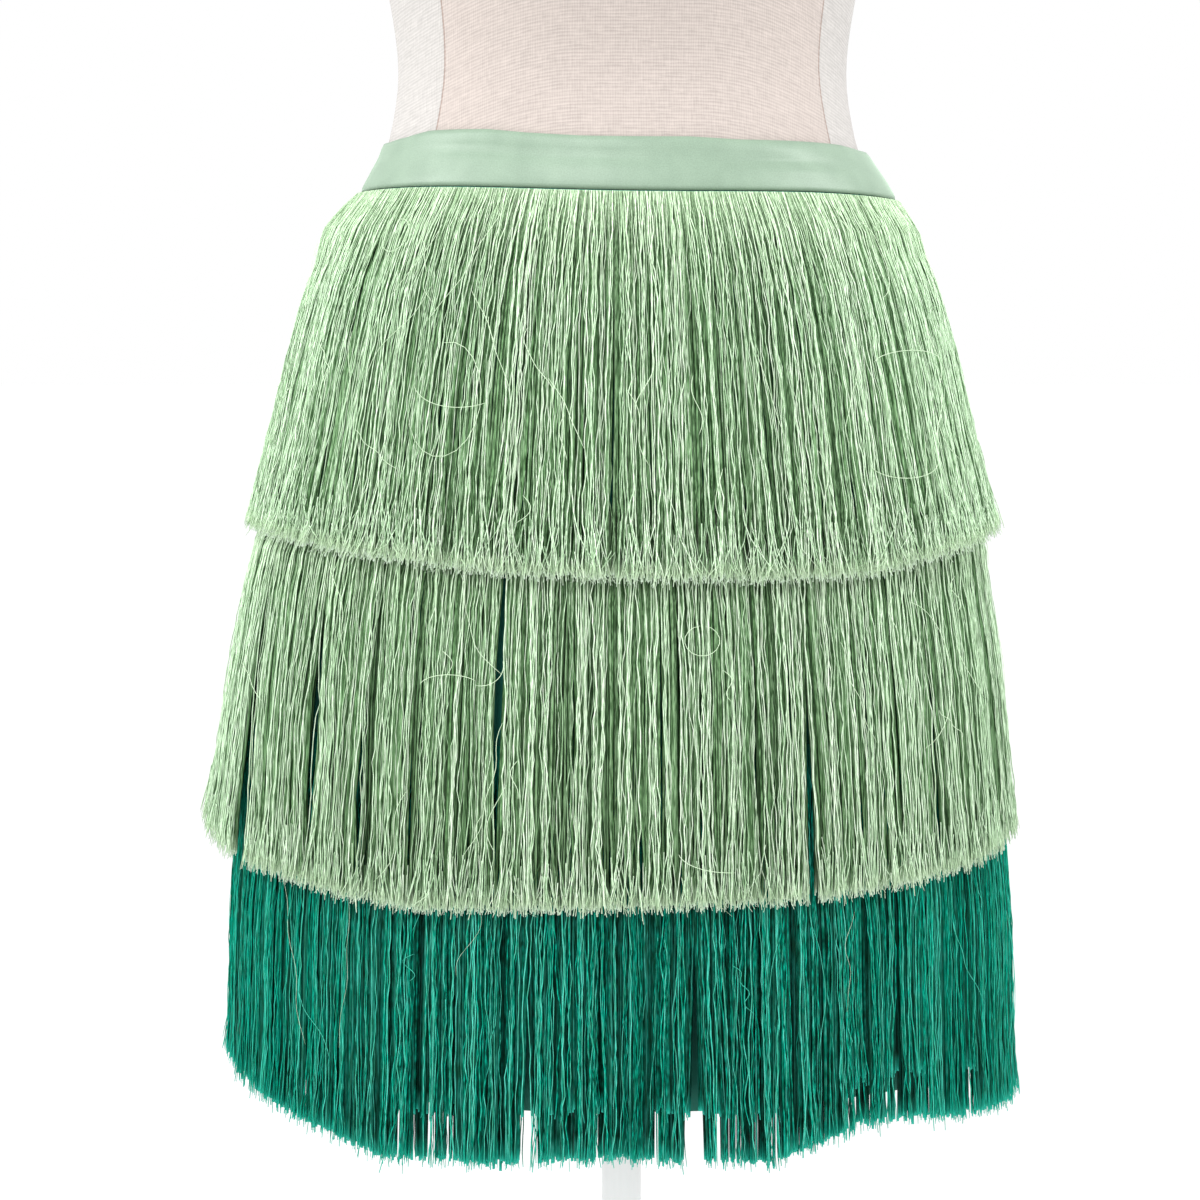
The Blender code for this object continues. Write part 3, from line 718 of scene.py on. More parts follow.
def tube_mesh(name, layers):
    """A mesh of closed strands, each with a strip of its own in the UV map.

    layers is a list of (rings, values): rings is [strand, step, side, xyz], values has [strand, step].
    """
    cells = math.ceil(math.sqrt(sum(len(rings) for rings, values in layers)))
    points, quads, caps, quad_uv, cap_uv, spread = [], [], [], [], [], {}
    first_point = first_strand = 0
    for rings, values in layers:
        count, steps, sides = rings.shape[:3]
        index = np.arange(count * steps * sides).reshape(count, steps, sides) + first_point
        following = np.roll(index, -1, axis=2)
        quads.append(np.stack(
            [index[:, :-1], index[:, 1:], following[:, 1:], following[:, :-1]], axis=-1
        ).reshape(-1, 4))
        caps.append(np.concatenate([index[:, 0], index[:, -1, ::-1]]))
        strand = np.arange(count) + first_strand
        left, low = strand % cells, strand // cells
        side, step = np.meshgrid(np.arange(sides), np.arange(steps - 1))

        def cell_place(across, up):
            u = (left[:, None, None] + 0.12 + 0.76 * across) / cells
            v = (low[:, None, None] + 0.06 + 0.88 * up) / cells
            return np.stack([u + 0 * v, v + 0 * u], axis=-1)

        quad_uv.append(np.stack([
            cell_place((side + a) / sides, (step + b) / (steps - 1))
            for a, b in ((0, 0), (0, 1), (1, 1), (1, 0))
        ], axis=3).reshape(-1, 2))
        edge = np.arange(3)[None, None, :]
        for end, inwards in ((0.0, 0.03), (1.0, -0.03)):
            cap = cell_place(0.2 + 0.3 * edge, end + inwards * (edge == 1))
            cap_uv.append(cap.reshape(-1, 2))
        points.append(rings.reshape(-1, 3))
        for key, value in values.items():
            spread.setdefault(key, []).append(np.repeat(value[:, :, None], sides, axis=2).ravel())
        first_point += count * steps * sides
        first_strand += count
    spread = {key: np.concatenate(parts) for key, parts in spread.items()}
    uv = np.concatenate([*quad_uv, *cap_uv])
    return new_mesh(name, np.concatenate(points), np.concatenate(quads), np.concatenate(caps), spread, uv)


def wander(chance, count, s, waves, amplitude, rows=slice(None)):
    """Slow random curves at the shares in s, drawn for each of count and picked by rows."""
    total = 0.0
    for wave in waves:
        phase = chance.uniform(0, 2 * math.pi, (count, 1))[rows]
        speed = wave * chance.uniform(0.75, 1.25, (count, 1))[rows]
        total = total + chance.normal(0, 1, (count, 1))[rows] * np.sin(speed * s + phase) / len(waves)
    return total * amplitude


def clump_pull(chance, places, spacing):
    """The middle of the clump that each place along the header belongs to, and its number."""
    steps = chance.uniform(0.5, 1.6, int(places[-1] / spacing * 2) + 4) * spacing
    borders = np.cumsum(steps) - spacing
    number = np.maximum(np.searchsorted(borders, places), 1)
    middles = (borders[number - 1] + borders[number]) / 2
    return middles, number


def part(bearings, heights, s, partings, shares):
    """Bearings of strands pushed aside from the partings, each to the side on which it mostly hangs."""
    for at, lean, starts, widest, ends, half_width in partings:
        opening = np.interp(s, (starts, widest, ends), (0, half_width * MM, 0)) * shares[:, None]
        reach = 4 * half_width * MM + 4 * MM
        middle = (at + lean * s) * DEGREE
        per_radian = metres_per_radian(bearings, heights)
        distance = half_turn(bearings - middle) * per_radian
        side = np.where(distance.mean(axis=1, keepdims=True) < 0, -1.0, 1.0)
        beyond = np.maximum(side * distance, 0)
        pushed = beyond + opening * clamp(1 - beyond / reach)
        is_near = (np.abs(distance).max(axis=1, keepdims=True) < 3 * reach) & (opening > 0)
        moved = np.where(is_near, side * pushed - distance, 0)
        bearings = bearings + moved / per_radian
    return bearings


def narrow_partings(fringe):
    """Slits between the outer strands, at random places all round."""
    chance = np.random.default_rng(fringe.seed + 100)
    slits = fringe.slits
    rows = []
    for bearing in np.sort(chance.uniform(-180, 180, slits.number)):
        starts = chance.uniform(slits.first_start, slits.last_start)
        length = chance.uniform(slits.shortest, slits.longest)
        widest = starts + chance.uniform(0.4, 0.7) * length
        half_width = chance.uniform(slits.narrow_mm, slits.wide_mm)
        rows.append((bearing, chance.normal(0, 0.3), starts, widest, starts + length, half_width))
    return tuple(rows)


def swing(fringe, bearings, s):
    """How much further out a fringe hangs than its lie says, where it kicks out, leans and bulges."""
    by_side = np.exp(-((half_turn(bearings + math.pi / 2) / SIDE_KICK_SPREAD) ** 2))
    kick = by_side * (fringe.kick_mm * s**2 + fringe.hump_mm * np.sin(math.pi * clamp(s / HUMP_ENDS)))
    return (kick - fringe.lean_mm * np.sin(bearings) * clamp(s / LEAN_REACHED)) * MM


def fringe_lie(fringe, s):
    """The middle and the thickness of a fringe at shares of its length."""
    lie = np.array(LIES[fringe.name])
    return [np.interp(s, lie[:, 0], lie[:, column]) * MM for column in (1, 2)]


def fringe_strands(chance, fringe, layer, side):
    """Paths of one layer of strands: shares of length, bearings, heights, offsets and depths."""
    count = layer.front if side == "front" else layer.back
    root_z = fringe.header_z - SEAM_GAP
    start = -math.pi / 2 if side == "front" else math.pi / 2
    shares = (np.arange(count) + chance.uniform(-0.5, 0.5, count)).clip(0, count - 1) / (count - 1)
    shares.sort()
    roots, length = even_bearings(shares, fringe.header_z, start, start + math.pi)
    if fringe.is_open and side == "back":
        to_centre = np.abs(roots - math.pi) * garment_section(fringe.header_z)[0]
        kept = to_centre > ZIP_SLOT / 2 + ZIP_CLEARANCE
        shares, roots = shares[kept], roots[kept]
        count = len(roots)
    places = shares * length
    first = chance.uniform(layer.first - layer.stagger, layer.first + layer.stagger, (count, 1))
    s = first + (1 - first) * np.linspace(0, 1, layer.steps + 1)
    depth = chance.uniform(layer.deepest, layer.shallowest, count)
    ragged = np.abs(chance.normal(0, RAGGED_SHORT, count)) + chance.normal(0, RAGGED_EVEN, count)
    is_long = chance.uniform(0, 1, count) < LONG_SHARE
    ragged -= is_long * chance.uniform(*LONGER, count)
    ends_z = fringe.ends_z + round_body(HEM_RISES[fringe.name], roots) + ragged + layer.short_mm * MM
    for at, half_width, missing in fringe.sparse_spots:
        is_near = np.abs(half_turn(roots - at * DEGREE)) < half_width * DEGREE
        is_short = is_near & (chance.uniform(0, 1, count) < missing * layer.missing)
        ends_z = ends_z + is_short * EARLY_ENDS
    heights = root_z + (ends_z - root_z)[:, None] * s
    flare_from = np.maximum(layer.flare_from, first)
    end = clamp((s - flare_from) / (1 - flare_from)) ** 2

    # Strands draw together in clumps on the way down, and let go again at the ends
    sideways = np.zeros(s.shape)
    together = np.sin(clamp(s / 0.6) ** 1.4 * math.pi / 2) * (1 - fringe.release * end)
    for spacing, pull, stray in CLUMPS:
        middles, number = clump_pull(chance, places, spacing * MM)
        sideways += (middles - places)[:, None] * getattr(layer, pull) * together
        sideways += wander(chance, number.max() + 1, s, (2.5, 6.0), stray * MM * layer.waves, number) * s
    for waves, amplitude in WAVES:
        sideways += wander(chance, count, s, waves, amplitude * MM) * layer.waves
    sideways += chance.normal(0, layer.kink_mm * MM, sideways.shape) * (s > 0)
    sideways += chance.normal(0, 1.3 * MM, (count, 1)) * s * layer.waves
    loose = (chance.uniform(0, 1, count) < LOOSE_SHARE) * layer.waves
    flare = chance.normal(0, layer.flare_mm * MM, count) + loose * chance.normal(0, LOOSE_FLARE, count)
    sideways += fringe.splay * flare[:, None] * end

    bearings = roots[:, None] + sideways / metres_per_radian(roots[:, None], heights)
    partings = PARTINGS[fringe.name] if layer.shallowest >= 1 or fringe.is_parted_below else ()
    if layer.shallowest >= 1:
        partings += narrow_partings(fringe)
    bearings = part(bearings, heights, s, partings, chance.uniform(0.6, 1.15, count))
    middle, thickness = fringe_lie(fringe, s)
    offset = CLOTH_WALL + middle + thickness * 0.5 * depth[:, None] + swing(fringe, bearings, s)
    offset += wander(chance, count, s, (5.0, 14.0, 30.0), 0.9 * MM * layer.waves) * np.sqrt(s)
    offset += chance.normal(0, 0.6 * layer.kink_mm * MM, sideways.shape) * (s > 0)
    out = np.abs(chance.normal(0, STANDS_OUT, (count, 1))) * (depth[:, None] > 0)
    offset += out * clamp((s - STANDS_OUT_FROM) / (1 - STANDS_OUT_FROM)) ** 2
    return s, bearings, heights, offset, depth


def fringe_layer(chance, fringe, layer, side):
    """Rings of points of one layer of a fringe, and its strands' values for the material."""
    s, bearings, heights, offset, depth = fringe_strands(chance, fringe, layer, side)
    centres, outwards = garment_place(bearings, heights, offset)
    sideways = np.stack([-outwards[..., 1], outwards[..., 0], 0 * heights], axis=-1)
    thickness = chance.uniform(layer.thin_mm, layer.thick_mm, (len(depth), 1)) * MM
    radii = thickness * np.interp(s, (0.95, 1), (1.0, layer.tip))
    rings = tubes(centres, outwards, sideways, radii, chance.uniform(0, 2 * math.pi, len(depth)))
    shades = chance.uniform(0, 1, (len(depth), 1)) + 0 * s
    # The depth carries painted shade for the material; at the sides deep strands get some painted light
    # (side_light), and the side share draws the painted highlights and darks to the middle colour
    share_out = (depth[:, None] + 1) / 2
    at_side = clamp((np.abs(np.sin(bearings)) - 0.5) / 0.4)
    values = {
        "along": s + 0 * shades,
        "chance": shades,
        "depth": share_out + (1 - share_out) * fringe.side_light * at_side,
        "side": at_side,
    }
    return rings, values


def add_fringe(fringe, material):
    """One tier of fringe, in a front and a back piece, each with its layers of strands."""
    chance = np.random.default_rng(fringe.seed)
    pieces = []
    for side in ("front", "back"):
        layers = [fringe_layer(chance, fringe, LAYERS[key], side) for key in fringe.layers]
        name = f"{fringe.name}_{side}"
        pieces.append(new_piece(name, tube_mesh(name, layers), material, fringe.name))
    return pieces


# Loose hairs that lie over the fringe

LOOSE_HAIRS = {
    # fringe under it and slot: from bearing in degrees, from z, to bearing, to z, bow in mm
    ("fringe_top", "fringe_mint"): (
        (-24, 0.962, -35, 0.908, 3.0),
        (-41, 0.950, -34.5, 0.917, 1.0),
        (-35, 0.926, -46, 0.878, -2.5),
        (-27, 0.924, -18, 0.874, 2.0),
        (-16, 0.905, -11, 0.868, -2.0),
        (-62, 0.897, -56, 0.881, 0.5),
        (-47, 0.853, -37, 0.833, -1.0),
        (41, 0.884, 37, 0.846, -2.0),
        (-12, 0.880, -6, 0.845, 1.5),
    ),
    ("fringe_middle", "fringe_mint"): (
        (-25, 0.784, -17.6, 0.732, -5.0),
        (-50, 0.786, -42, 0.718, 3.5),
        (-73, 0.726, -63, 0.709, 1.0),
        (33, 0.746, 38, 0.694, -1.5),
        (52, 0.707, 58, 0.690, 1.0),
        (-17, 0.708, -22, 0.640, 3.0),
        (-31, 0.672, -36, 0.624, 2.0),
    ),
    ("fringe_bottom", "fringe_mint"): (
        (-20.2, 0.612, -23.5, 0.578, 1.0),
        (-42.2, 0.614, -43.2, 0.534, 3.0),
        (-57.5, 0.618, -50.5, 0.532, 2.0),
        (34.0, 0.608, 32.1, 0.557, -1.5),
    ),
    ("fringe_bottom", "fringe_green"): (
        (27.0, 0.602, 27.6, 0.538, 5.0),
        (54.0, 0.595, 63.0, 0.548, -4.0),
        (-52.0, 0.560, -45.0, 0.528, 1.0),
        (15.0, 0.585, 17.5, 0.560, 2.0),
    ),
}
LOOSE_LOOPS = {
    # fringe under it: bearing in degrees, z, half width in mm, half height in mm, from angle, sweep
    "fringe_top": (
        (-47.3, 0.9500, 8, 8.0, 150, 320),
        (-29.5, 0.8690, 19, 29, 100, -270),
        (-27.0, 0.8790, 25, 14, 190, 115),
        (56.0, 0.8860, 27, 7, 170, -155),
        (49.5, 0.8360, 23, 8.5, 190, 160),
        (50.0, 0.9400, 12, 20, 80, -160),
    ),
    "fringe_middle": (
        (11.2, 0.7490, 8.5, 7.5, 95, 345),
        (-20.5, 0.7360, 11, 10, 15, -115),
        (-25.0, 0.7240, 16, 7, 165, -125),
        (45.0, 0.7260, 32, 39, 75, -150),
        (15.2, 0.6450, 27, 12, 190, 80),
    ),
    "fringe_bottom": (),
}
LOOSE_WISPS = {"fringe_top": 40, "fringe_middle": 36, "fringe_bottom": 24}
EDGE_STRANDS = (
    # bearing in degrees, from z, to z, stands off in mm
    (75.0, 0.592, 0.512, 3.6),
    (77.0, 0.586, 0.500, 2.8),
)
HAIR_STEPS = 16
HAIR_RADIUS = 0.20 * MM
HAIR_WAVE = 1.8 * MM
HAIR_LIFT = 0.7 * MM
LOOP_LIFT = 1.0 * MM
WISP_LIFT = 0.5 * MM
WISP_RISE = 0.8 * MM
# Wisps: their lengths in mm, how far they turn in degrees, and their bow and distance to a fringe's ends
WISP_LENGTHS = (12, 45)
WISP_TURN = 14
WISP_BOW = 3 * MM
WISP_ABOVE_ENDS = 22 * MM
WISP_BELOW_HEADER = 12 * MM


def outer_offset(fringe, bearings, z):
    """How far out a fringe's outer side lies from the garment surface at arrays of places."""
    s = clamp((fringe.header_z - z) / (fringe.header_z - fringe.ends_z))
    middle, thickness = fringe_lie(fringe, s)
    return CLOTH_WALL + middle + thickness / 2 + swing(fringe, bearings, s)


def hair_rings(bearings, z, offset, radius):
    """Rings of points round hairs whose places are rows of bearings, heights and offsets."""
    centres, outwards = garment_place(bearings, z, offset)
    along = unit(np.gradient(centres, axis=1))
    sideways = unit(np.cross(along, outwards))
    across = np.cross(sideways, along)
    radii = radius * np.interp(np.linspace(0, 1, centres.shape[1]), (0, 0.08, 0.9, 1), (0.5, 1, 1, 0.5))
    return tubes(centres, across, sideways, radii[None, :] + 0 * z, np.zeros(len(centres)))


def add_loose_hairs(fringe, slot, material):
    """The hairs of one colour that lie loose on one fringe, those that show in front and wisps all round."""
    is_mint = slot == "fringe_mint"
    chance = np.random.default_rng(fringe.seed + (5 if is_mint else 6))
    t = np.linspace(0, 1, HAIR_STEPS)
    arch, wave = np.sin(math.pi * t), np.sin(2 * math.pi * t)
    rows = []
    for from_bearing, from_z, to_bearing, to_z, bow in LOOSE_HAIRS[fringe.name, slot]:
        bearing = (from_bearing + (to_bearing - from_bearing) * t) * DEGREE
        z = from_z + (to_z - from_z) * t
        aside = bow * MM * arch + chance.normal(0, HAIR_WAVE) * wave
        aside += chance.normal(0, HAIR_WAVE / 2) * np.sin(4.4 * math.pi * t)
        rows.append((bearing + aside / metres_per_radian(bearing, z), z, HAIR_LIFT + 0 * t))
    for at, z, half_width, half_height, start, sweep in LOOSE_LOOPS[fringe.name] if is_mint else ():
        angle = (start + sweep * t) * DEGREE
        aside = half_width * MM * np.cos(angle)
        bearing = at * DEGREE + aside / metres_per_radian(at * DEGREE, z)
        rows.append((bearing, z + half_height * MM * np.sin(angle), LOOP_LIFT + 0 * t))
    for at, from_z, to_z, stands_off in EDGE_STRANDS if slot == "fringe_green" else ():
        bearing = at * DEGREE + 0.01 * np.sin(5 * t)
        rows.append((bearing, from_z + (to_z - from_z) * t, stands_off * MM * arch))
    is_fallen = slot != fringe.slot
    for _ in range(0 if is_fallen else LOOSE_WISPS[fringe.name]):
        length = chance.uniform(*WISP_LENGTHS) * MM
        turn = chance.normal(0, WISP_TURN) * DEGREE
        bearing = chance.uniform(-math.pi, math.pi)
        lowest = fringe.ends_z + WISP_ABOVE_ENDS
        from_z = chance.uniform(lowest + length, fringe.header_z - WISP_BELOW_HEADER)
        aside = length * math.sin(turn) * t + chance.normal(0, WISP_BOW) * arch
        aside += chance.normal(0, HAIR_WAVE) * wave
        bearings = bearing + aside / metres_per_radian(bearing, from_z)
        rows.append((bearings, from_z - length * math.cos(turn) * t, WISP_LIFT + WISP_RISE * arch))
    bearings, heights, lifts = np.moveaxis(np.array(rows), 1, 0)
    offset = outer_offset(fringe, bearings, heights) + lifts
    rings = hair_rings(bearings, heights, offset, HAIR_RADIUS * (0.5 if is_fallen else 1.0))
    plain = np.ones(bearings.shape)
    values = {
        "along": (0.99 if is_mint and not is_fallen else 0.5) * plain,
        "chance": 0.8 * plain,
        "depth": plain,
        "side": 0 * plain,
    }
    name = f"{fringe.name}_loose_{slot}"
    new_piece(name, tube_mesh(name, [(rings, values)]), material, fringe.name)


# The zip's teeth

TOOTH_PITCH = 1.5 * MM
TOOTH_WIDTH = 1.5 * MM
TOOTH_HEIGHT = 0.85 * MM
TOOTH_WALL = 0.5 * MM
TOOTH_ASIDE = 0.35 * MM
# Half the width of a tooth's outer side, where half the width at its foot is 0.5
TOOTH_TIP = 0.35
CHAIN_OUTER = 1.4 * MM


def add_teeth(material):
    """Coil teeth along the closed zip, set in turn to the left and the right of its middle."""
    heights = np.arange(ZIP_END_Z + 1 * MM, SLIDER_Z - 5 * MM, TOOTH_PITCH)
    corners = np.array([
        (x, y, z) for z in (-0.5, 0.5) for x, y in ((-0.5, 0), (0.5, 0), (TOOTH_TIP, 1), (-TOOTH_TIP, 1))
    ])
    side = np.where(np.arange(len(heights)) % 2 == 0, -TOOTH_ASIDE, TOOTH_ASIDE)
    places = garment_place(np.full(len(heights), math.pi), heights, CHAIN_OUTER)[0]
    scale = np.array((TOOTH_WIDTH, TOOTH_WALL, TOOTH_HEIGHT))
    points = places[:, None, :] + corners[None] * scale
    points[..., 0] += side[:, None]
    faces = np.array([(0, 3, 2, 1), (4, 5, 6, 7), (0, 1, 5, 4), (1, 2, 6, 5), (2, 3, 7, 6), (3, 0, 4, 7)])
    quads = (faces[None] + 8 * np.arange(len(heights))[:, None, None]).reshape(-1, 4)
    mesh = new_mesh("zip_teeth", points.reshape(-1, 3), quads)
    mesh.set_sharp_from_angle(angle=30 * DEGREE)
    new_piece("zip_teeth", mesh, material)


# The cloth

PANEL_ROWS = 32
PANEL_INNER = 0.15 * MM
PANEL_OUTER = CLOTH_WALL - 0.05 * MM
SLOT_BELOW_ZIP = 4 * MM
FOLDS_START_Z = 0.80
FOLDS_REACH = 0.25
FOLD_DEPTH = 1.2 * MM


def shell_mesh(name, bearings, heights, inner, outer):
    """A closed wall between two offsets over a grid of heights by bearings, with cloth_u and cloth_v."""
    z = np.broadcast_to(heights[:, None], bearings.shape)
    faces = [garment_place(bearings, z, inner)[0], garment_place(bearings, z, outer)[0][::-1]]
    cloth_u = bearings * metres_per_radian(bearings, z)
    values = {
        "cloth_u": np.concatenate([cloth_u, cloth_u[::-1]]),
        "cloth_v": np.concatenate([z, z[::-1]]),
    }
    return swept_mesh(name, np.concatenate(faces), values)


def add_panels(material):
    """The three panels of the skirt under the fringe, with soft folds towards the hem."""
    heights = np.linspace(SEAM_Z - SEAM_GAP, HEM_Z, PANEL_ROWS)
    side = math.pi / 2
    seam = SEAM_GAP / 2 / garment_section(heights)[1]
    is_open = heights > ZIP_END_Z - SLOT_BELOW_ZIP
    centre_back = back_edge(np.where(is_open, ZIP_SLOT / 2, SEAM_GAP / 2), heights)
    panels = (
        ("panel_front", -side + seam, side - seam, 64),
        ("panel_back_left", side + seam, centre_back, 32),
        ("panel_back_right", -centre_back, -side - seam, 32),
    )
    pieces = []
    for name, start, end, columns in panels:
        share = np.linspace(0, 1, columns + 1)[None, :]
        bearings = start[:, None] + (end - start)[:, None] * share
        fall = clamp((FOLDS_START_Z - heights) / FOLDS_REACH)[:, None] ** 1.5
        waves = np.sin(bearings * 11.0 + 0.7) * 0.6 + np.sin(bearings * 17.0 + 2.1) * 0.4
        folds = -FOLD_DEPTH * fall * (1 + waves) * np.sin(math.pi * share) ** 0.5
        inner, outer = PANEL_INNER + folds, PANEL_OUTER + folds
        mesh = shell_mesh(f"{name}_cloth", bearings, heights, inner, outer)
        pieces.append(new_piece(f"{name}_cloth", mesh, material, name))
    return pieces


BAND_CREASES = (
    # bearing in degrees, height share, half length in mm, half height in mm, rise in mm, slope
    (38, 0.78, 26, 2.2, 1.00, -0.03),
    (34, 0.60, 34, 2.6, -1.50, -0.03),
    (46, 0.42, 22, 2.2, 0.80, -0.05),
    (-34, 0.66, 42, 2.8, -1.50, -0.04),
    (-48, 0.86, 30, 2.4, 0.65, 0.02),
    (-2, 0.62, 34, 2.8, -0.90, -0.02),
    (10, 0.82, 40, 2.2, 0.50, -0.01),
    (62, 0.66, 20, 3.0, 0.70, -0.05),
    (-72, 0.56, 26, 3.2, 0.60, 0.06),
    (110, 0.58, 36, 3.2, -0.45, 0.03),
    (150, 0.66, 30, 2.8, 0.45, -0.03),
    (-125, 0.52, 38, 3.0, 0.50, 0.04),
    (-160, 0.40, 28, 3.2, -0.35, 0.00),
)
BAND_COLUMNS = 300
BAND_SIDES = 32
BAND_ROLL = 0.35 * MM
BAND_SPARE = 0.1 * MM
BAND_EDGE = 1.1 * MM
CREASES_FADE = 3 * MM


def add_waistband(material):
    """The waistband: a folded strip with soft creases along it and rounded edges."""
    columns = BAND_COLUMNS
    turn = np.linspace(0, 2 * math.pi, BAND_SIDES, endpoint=False) + math.pi / BAND_SIDES
    to_square = np.maximum(np.abs(np.sin(turn)), np.abs(np.cos(turn)))
    reach = back_edge(ZIP_SLOT / 2, SEAM_Z + BAND_HEIGHT / 2)
    bearings, length = even_bearings(np.linspace(0, 1, columns), SEAM_Z, -reach, reach)
    places = np.linspace(-0.5, 0.5, columns) * length
    up = np.repeat(clamp(0.5 + 0.5 * np.sin(turn) / to_square)[:, None], columns, axis=1)
    out = clamp(0.5 + 0.5 * np.cos(turn) / to_square)[:, None]
    z = SEAM_Z + BAND_SPARE + up * (BAND_HEIGHT - 2 * BAND_SPARE)
    edge = np.minimum(up, 1 - up) * BAND_HEIGHT
    thickness = (BAND_WALL - BAND_ROLL) * (0.45 + 0.55 * np.sqrt(clamp(edge / BAND_EDGE)))
    offset = BAND_WALL / 2 + (out - 0.5) * thickness
    for at, share, half_length, half_height, rise, slope in BAND_CREASES:
        start = np.interp(at * DEGREE, bearings, places)
        along = (places - start)[None, :]
        above = (up - share) * BAND_HEIGHT - slope * along
        bell = np.exp(-((along / (half_length * MM)) ** 2 + (above / (half_height * MM)) ** 2))
        offset = offset + rise * MM * bell * out * clamp(edge / CREASES_FADE)
    roll = np.sin(2 * math.pi * up) * (0.7 + 0.3 * np.sin(bearings * 2.3 + 0.8))[None, :]
    offset = offset + BAND_ROLL * roll * out
    grid = np.repeat(bearings[None, :], BAND_SIDES, axis=0)
    section = garment_place(grid, z, offset)[0]
    values = {"cloth_u": np.broadcast_to(places, z.shape), "cloth_v": z}
    mesh = swept_mesh("waistband_cloth", section, values)
    return new_piece("waistband_cloth", mesh, material, "waistband"), length


# The dress form

FORM_SEAMS = (
    # z, front princess seam in degrees of bearing, back princess seam
    (0.705, 46, 138),
    (0.880, 50, 134),
    (1.004, 55, 130),
    (1.090, 53, 130),
    (1.215, 40, 134),
    (1.330, 44, 138),
    (1.402, 52, 140),
    (1.470, 60, 140),
)
FORM_TURN = 4 * DEGREE
FORM_COLUMNS = 100
FORM_ROWS = 90


def add_torso(material):
    """The linen cover of the torso. It carries the distance to each seam, which is less than 0 before it."""
    columns, rows = FORM_COLUMNS, FORM_ROWS
    heights = np.linspace(FORM_BOTTOM_Z, NECK_TOP_Z, rows)
    bearings = np.linspace(-math.pi, math.pi, columns, endpoint=False) + FORM_TURN
    grid_b, grid_z = np.meshgrid(bearings, heights)
    points = form_place(grid_b, grid_z)
    step = np.linalg.norm(np.roll(points, -1, axis=1) - points, axis=2)
    u = np.concatenate([np.zeros((rows, 1)), np.cumsum(step, axis=1)[:, :-1]], axis=1)
    u -= u[:, columns // 2][:, None]
    table = np.array(FORM_SEAMS, float)
    front_seam, back_seam = (
        np.interp(grid_z, table[:, 0], table[:, column]) * DEGREE for column in (1, 2)
    )
    half_width, depth = form_axes(grid_b, grid_z)
    per_radian = np.hypot(half_width * np.cos(grid_b), depth * np.sin(grid_b))
    from_front = np.abs(grid_b - FORM_TURN)
    seams = {
        "seam_front": front_seam,
        "seam_back": back_seam,
        "seam_side": math.pi / 2,
        "seam_centre": math.pi,
    }
    index = np.arange(rows * columns).reshape(rows, columns)
    right = np.roll(index, -1, axis=1)
    quads = np.stack([index[:-1], right[:-1], right[1:], index[1:]], axis=-1).reshape(-1, 4)
    middles = np.array([[0, 0, FORM_BOTTOM_Z], [0, 0, NECK_TOP_Z]])
    low, high = rows * columns, rows * columns + 1
    triangles = np.concatenate([
        np.stack([right[0], index[0], np.full(columns, low)], axis=-1),
        np.stack([index[-1], right[-1], np.full(columns, high)], axis=-1),
    ])
    values = {
        "cloth_u": np.append(u.ravel(), [0, 0]),
        "cloth_v": np.append(grid_z.ravel(), [0, 0]),
    }
    for key, place in seams.items():
        values[key] = np.append(((from_front - place) * per_radian).ravel(), [1, 1])
    places = np.concatenate([points.reshape(-1, 3), middles])
    mesh = new_mesh("form_cover", places, quads, triangles, values)
    mesh.set_sharp_from_angle(angle=60 * DEGREE)
    return new_piece("form_cover", mesh, material, "form_torso")


def repaint(material, *nodes):
    """Gives solids that stay a better material."""
    for node in nodes:
        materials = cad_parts[node].data.materials
        materials.clear()
        materials.append(material)


# The stage

CAMERA_AWAY = 1.6
CAMERA_UP = 0.919
CAMERA_DOWN = 5.86 * DEGREE
AXIS_RIGHT_OF_MIDDLE = 0.012
FOCAL_LENGTH = 87.7
FLOOR_REACH = 30.0


def add_camera():
    data = bpy.data.cameras.new("camera")
    data.lens = FOCAL_LENGTH
    data.sensor_width = 36.0
    camera = new_object("camera", data)
    camera.location = (-AXIS_RIGHT_OF_MIDDLE, -CAMERA_AWAY, CAMERA_UP)
    camera.rotation_euler = (math.pi / 2 - CAMERA_DOWN, 0, 0)
    bpy.context.scene.camera = camera


def add_light(name, location, target, size, power, spread=180):
    data = bpy.data.lights.new(name, "AREA")
    data.shape = "DISK"
    data.size = size
    data.energy = power
    data.spread = spread * DEGREE
    light = new_object(name, data)
    light.location = location
    towards = Vector(target) - Vector(location)
    light.rotation_euler = towards.to_track_quat("-Z", "Y").to_euler()


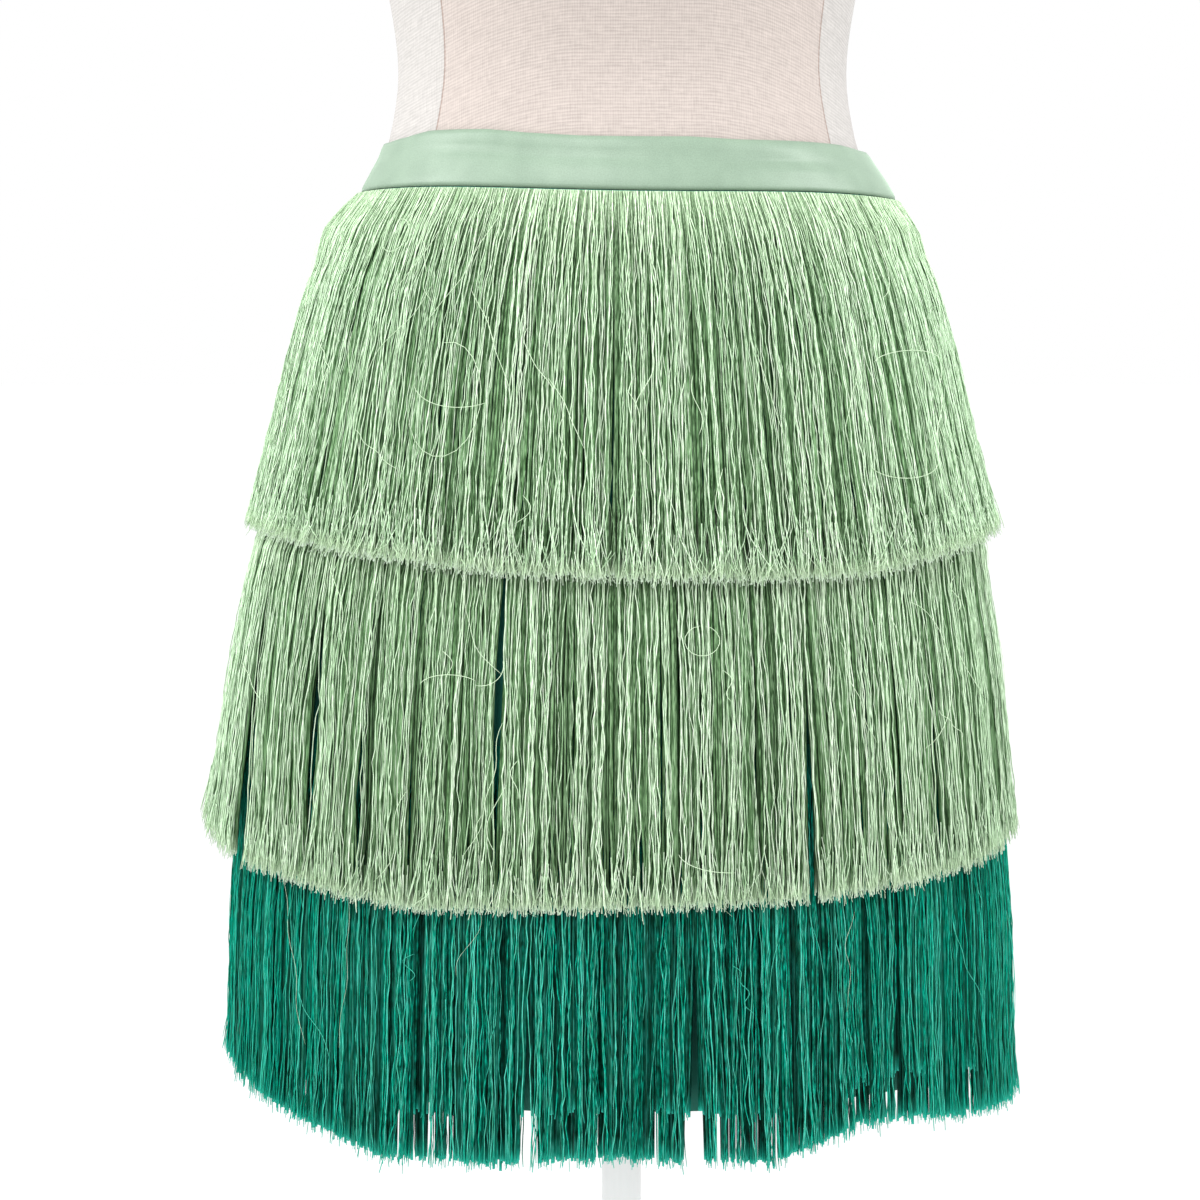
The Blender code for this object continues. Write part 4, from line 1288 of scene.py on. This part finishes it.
def add_stage():
    """A white floor, a white surround and soft lights from above and both sides."""
    mesh = bpy.data.meshes.new("floor")
    reach = FLOOR_REACH
    mesh.from_pydata(
        [(-reach, -reach, 0), (reach, -reach, 0), (reach, reach, 0), (-reach, reach, 0)],
        [], [(0, 1, 2, 3)],
    )
    mesh.materials.append(floor_material())
    floor = new_object("floor", mesh)
    world = bpy.data.worlds.new("white")
    world.use_nodes = True
    world.node_tree.nodes["Background"].inputs["Color"].default_value = (1, 1, 1, 1)
    world.node_tree.nodes["Background"].inputs["Strength"].default_value = 1.0
    bpy.context.scene.world = world
    bpy.context.scene.view_settings.view_transform = "Standard"
    bpy.context.scene.view_settings.look = "None"
    add_light("key", (-0.6, -2.0, 2.6), (0, 0, 0.8), 0.8, 38)
    add_light("right", (1.6, -0.40, 1.8), (0.1, 0, 1.15), 0.8, 2.6, spread=56)
    add_light("left", (-1.6, -0.35, 1.8), (-0.1, 0, 1.15), 0.8, 2.5, spread=56)


def main():
    add_camera()
    add_stage()
    mint = strand_material(
        "fringe_mint", (0.39, 0.60, 0.36), (0.72, 0.94, 0.67), (0.80, 0.93, 0.75), (0.72, 0.91, 0.61),
        cut_end=(0.83, 1.00, 0.84), shadow=(0.02, 0.06, 0.02), half_shadow=(0.31, 0.44, 0.29),
        specular=0.22, hem_light=0.72,
    )
    green = strand_material(
        "fringe_green", (0.001, 0.110, 0.075), (0.001, 0.430, 0.295), (0.100, 0.650, 0.510),
        (0.015, 0.520, 0.380), cut_end=(0.060, 0.600, 0.470), shadow=(0.01, 0.03, 0.03),
        half_shadow=(0.20, 0.30, 0.29), specular=0.05, hem_light=0.70,
    )
    strands = {"fringe_mint": mint, "fringe_green": green}
    fringe = []
    for tier in FRINGES:
        fringe += add_fringe(tier, strands[tier.slot])
        add_loose_hairs(tier, tier.slot, strands[tier.slot])
    add_loose_hairs(FRINGES[-1], "fringe_mint", mint)
    panels = add_panels(teal_material())
    band, band_length = add_waistband(satin_material())
    torso = add_torso(linen_material())
    zip_enamel = enamel_material("zip_enamel", (0.42, 0.60, 0.43), 0.35)
    repaint(enamel_material("white_enamel", (0.93, 0.93, 0.93), 0.35), "form_pole", "form_base")
    repaint(wood_material(), "form_neck_cap")
    repaint(zip_enamel, "zip_chain", "zip_slider", "zip_pull")
    add_teeth(zip_enamel)


main()
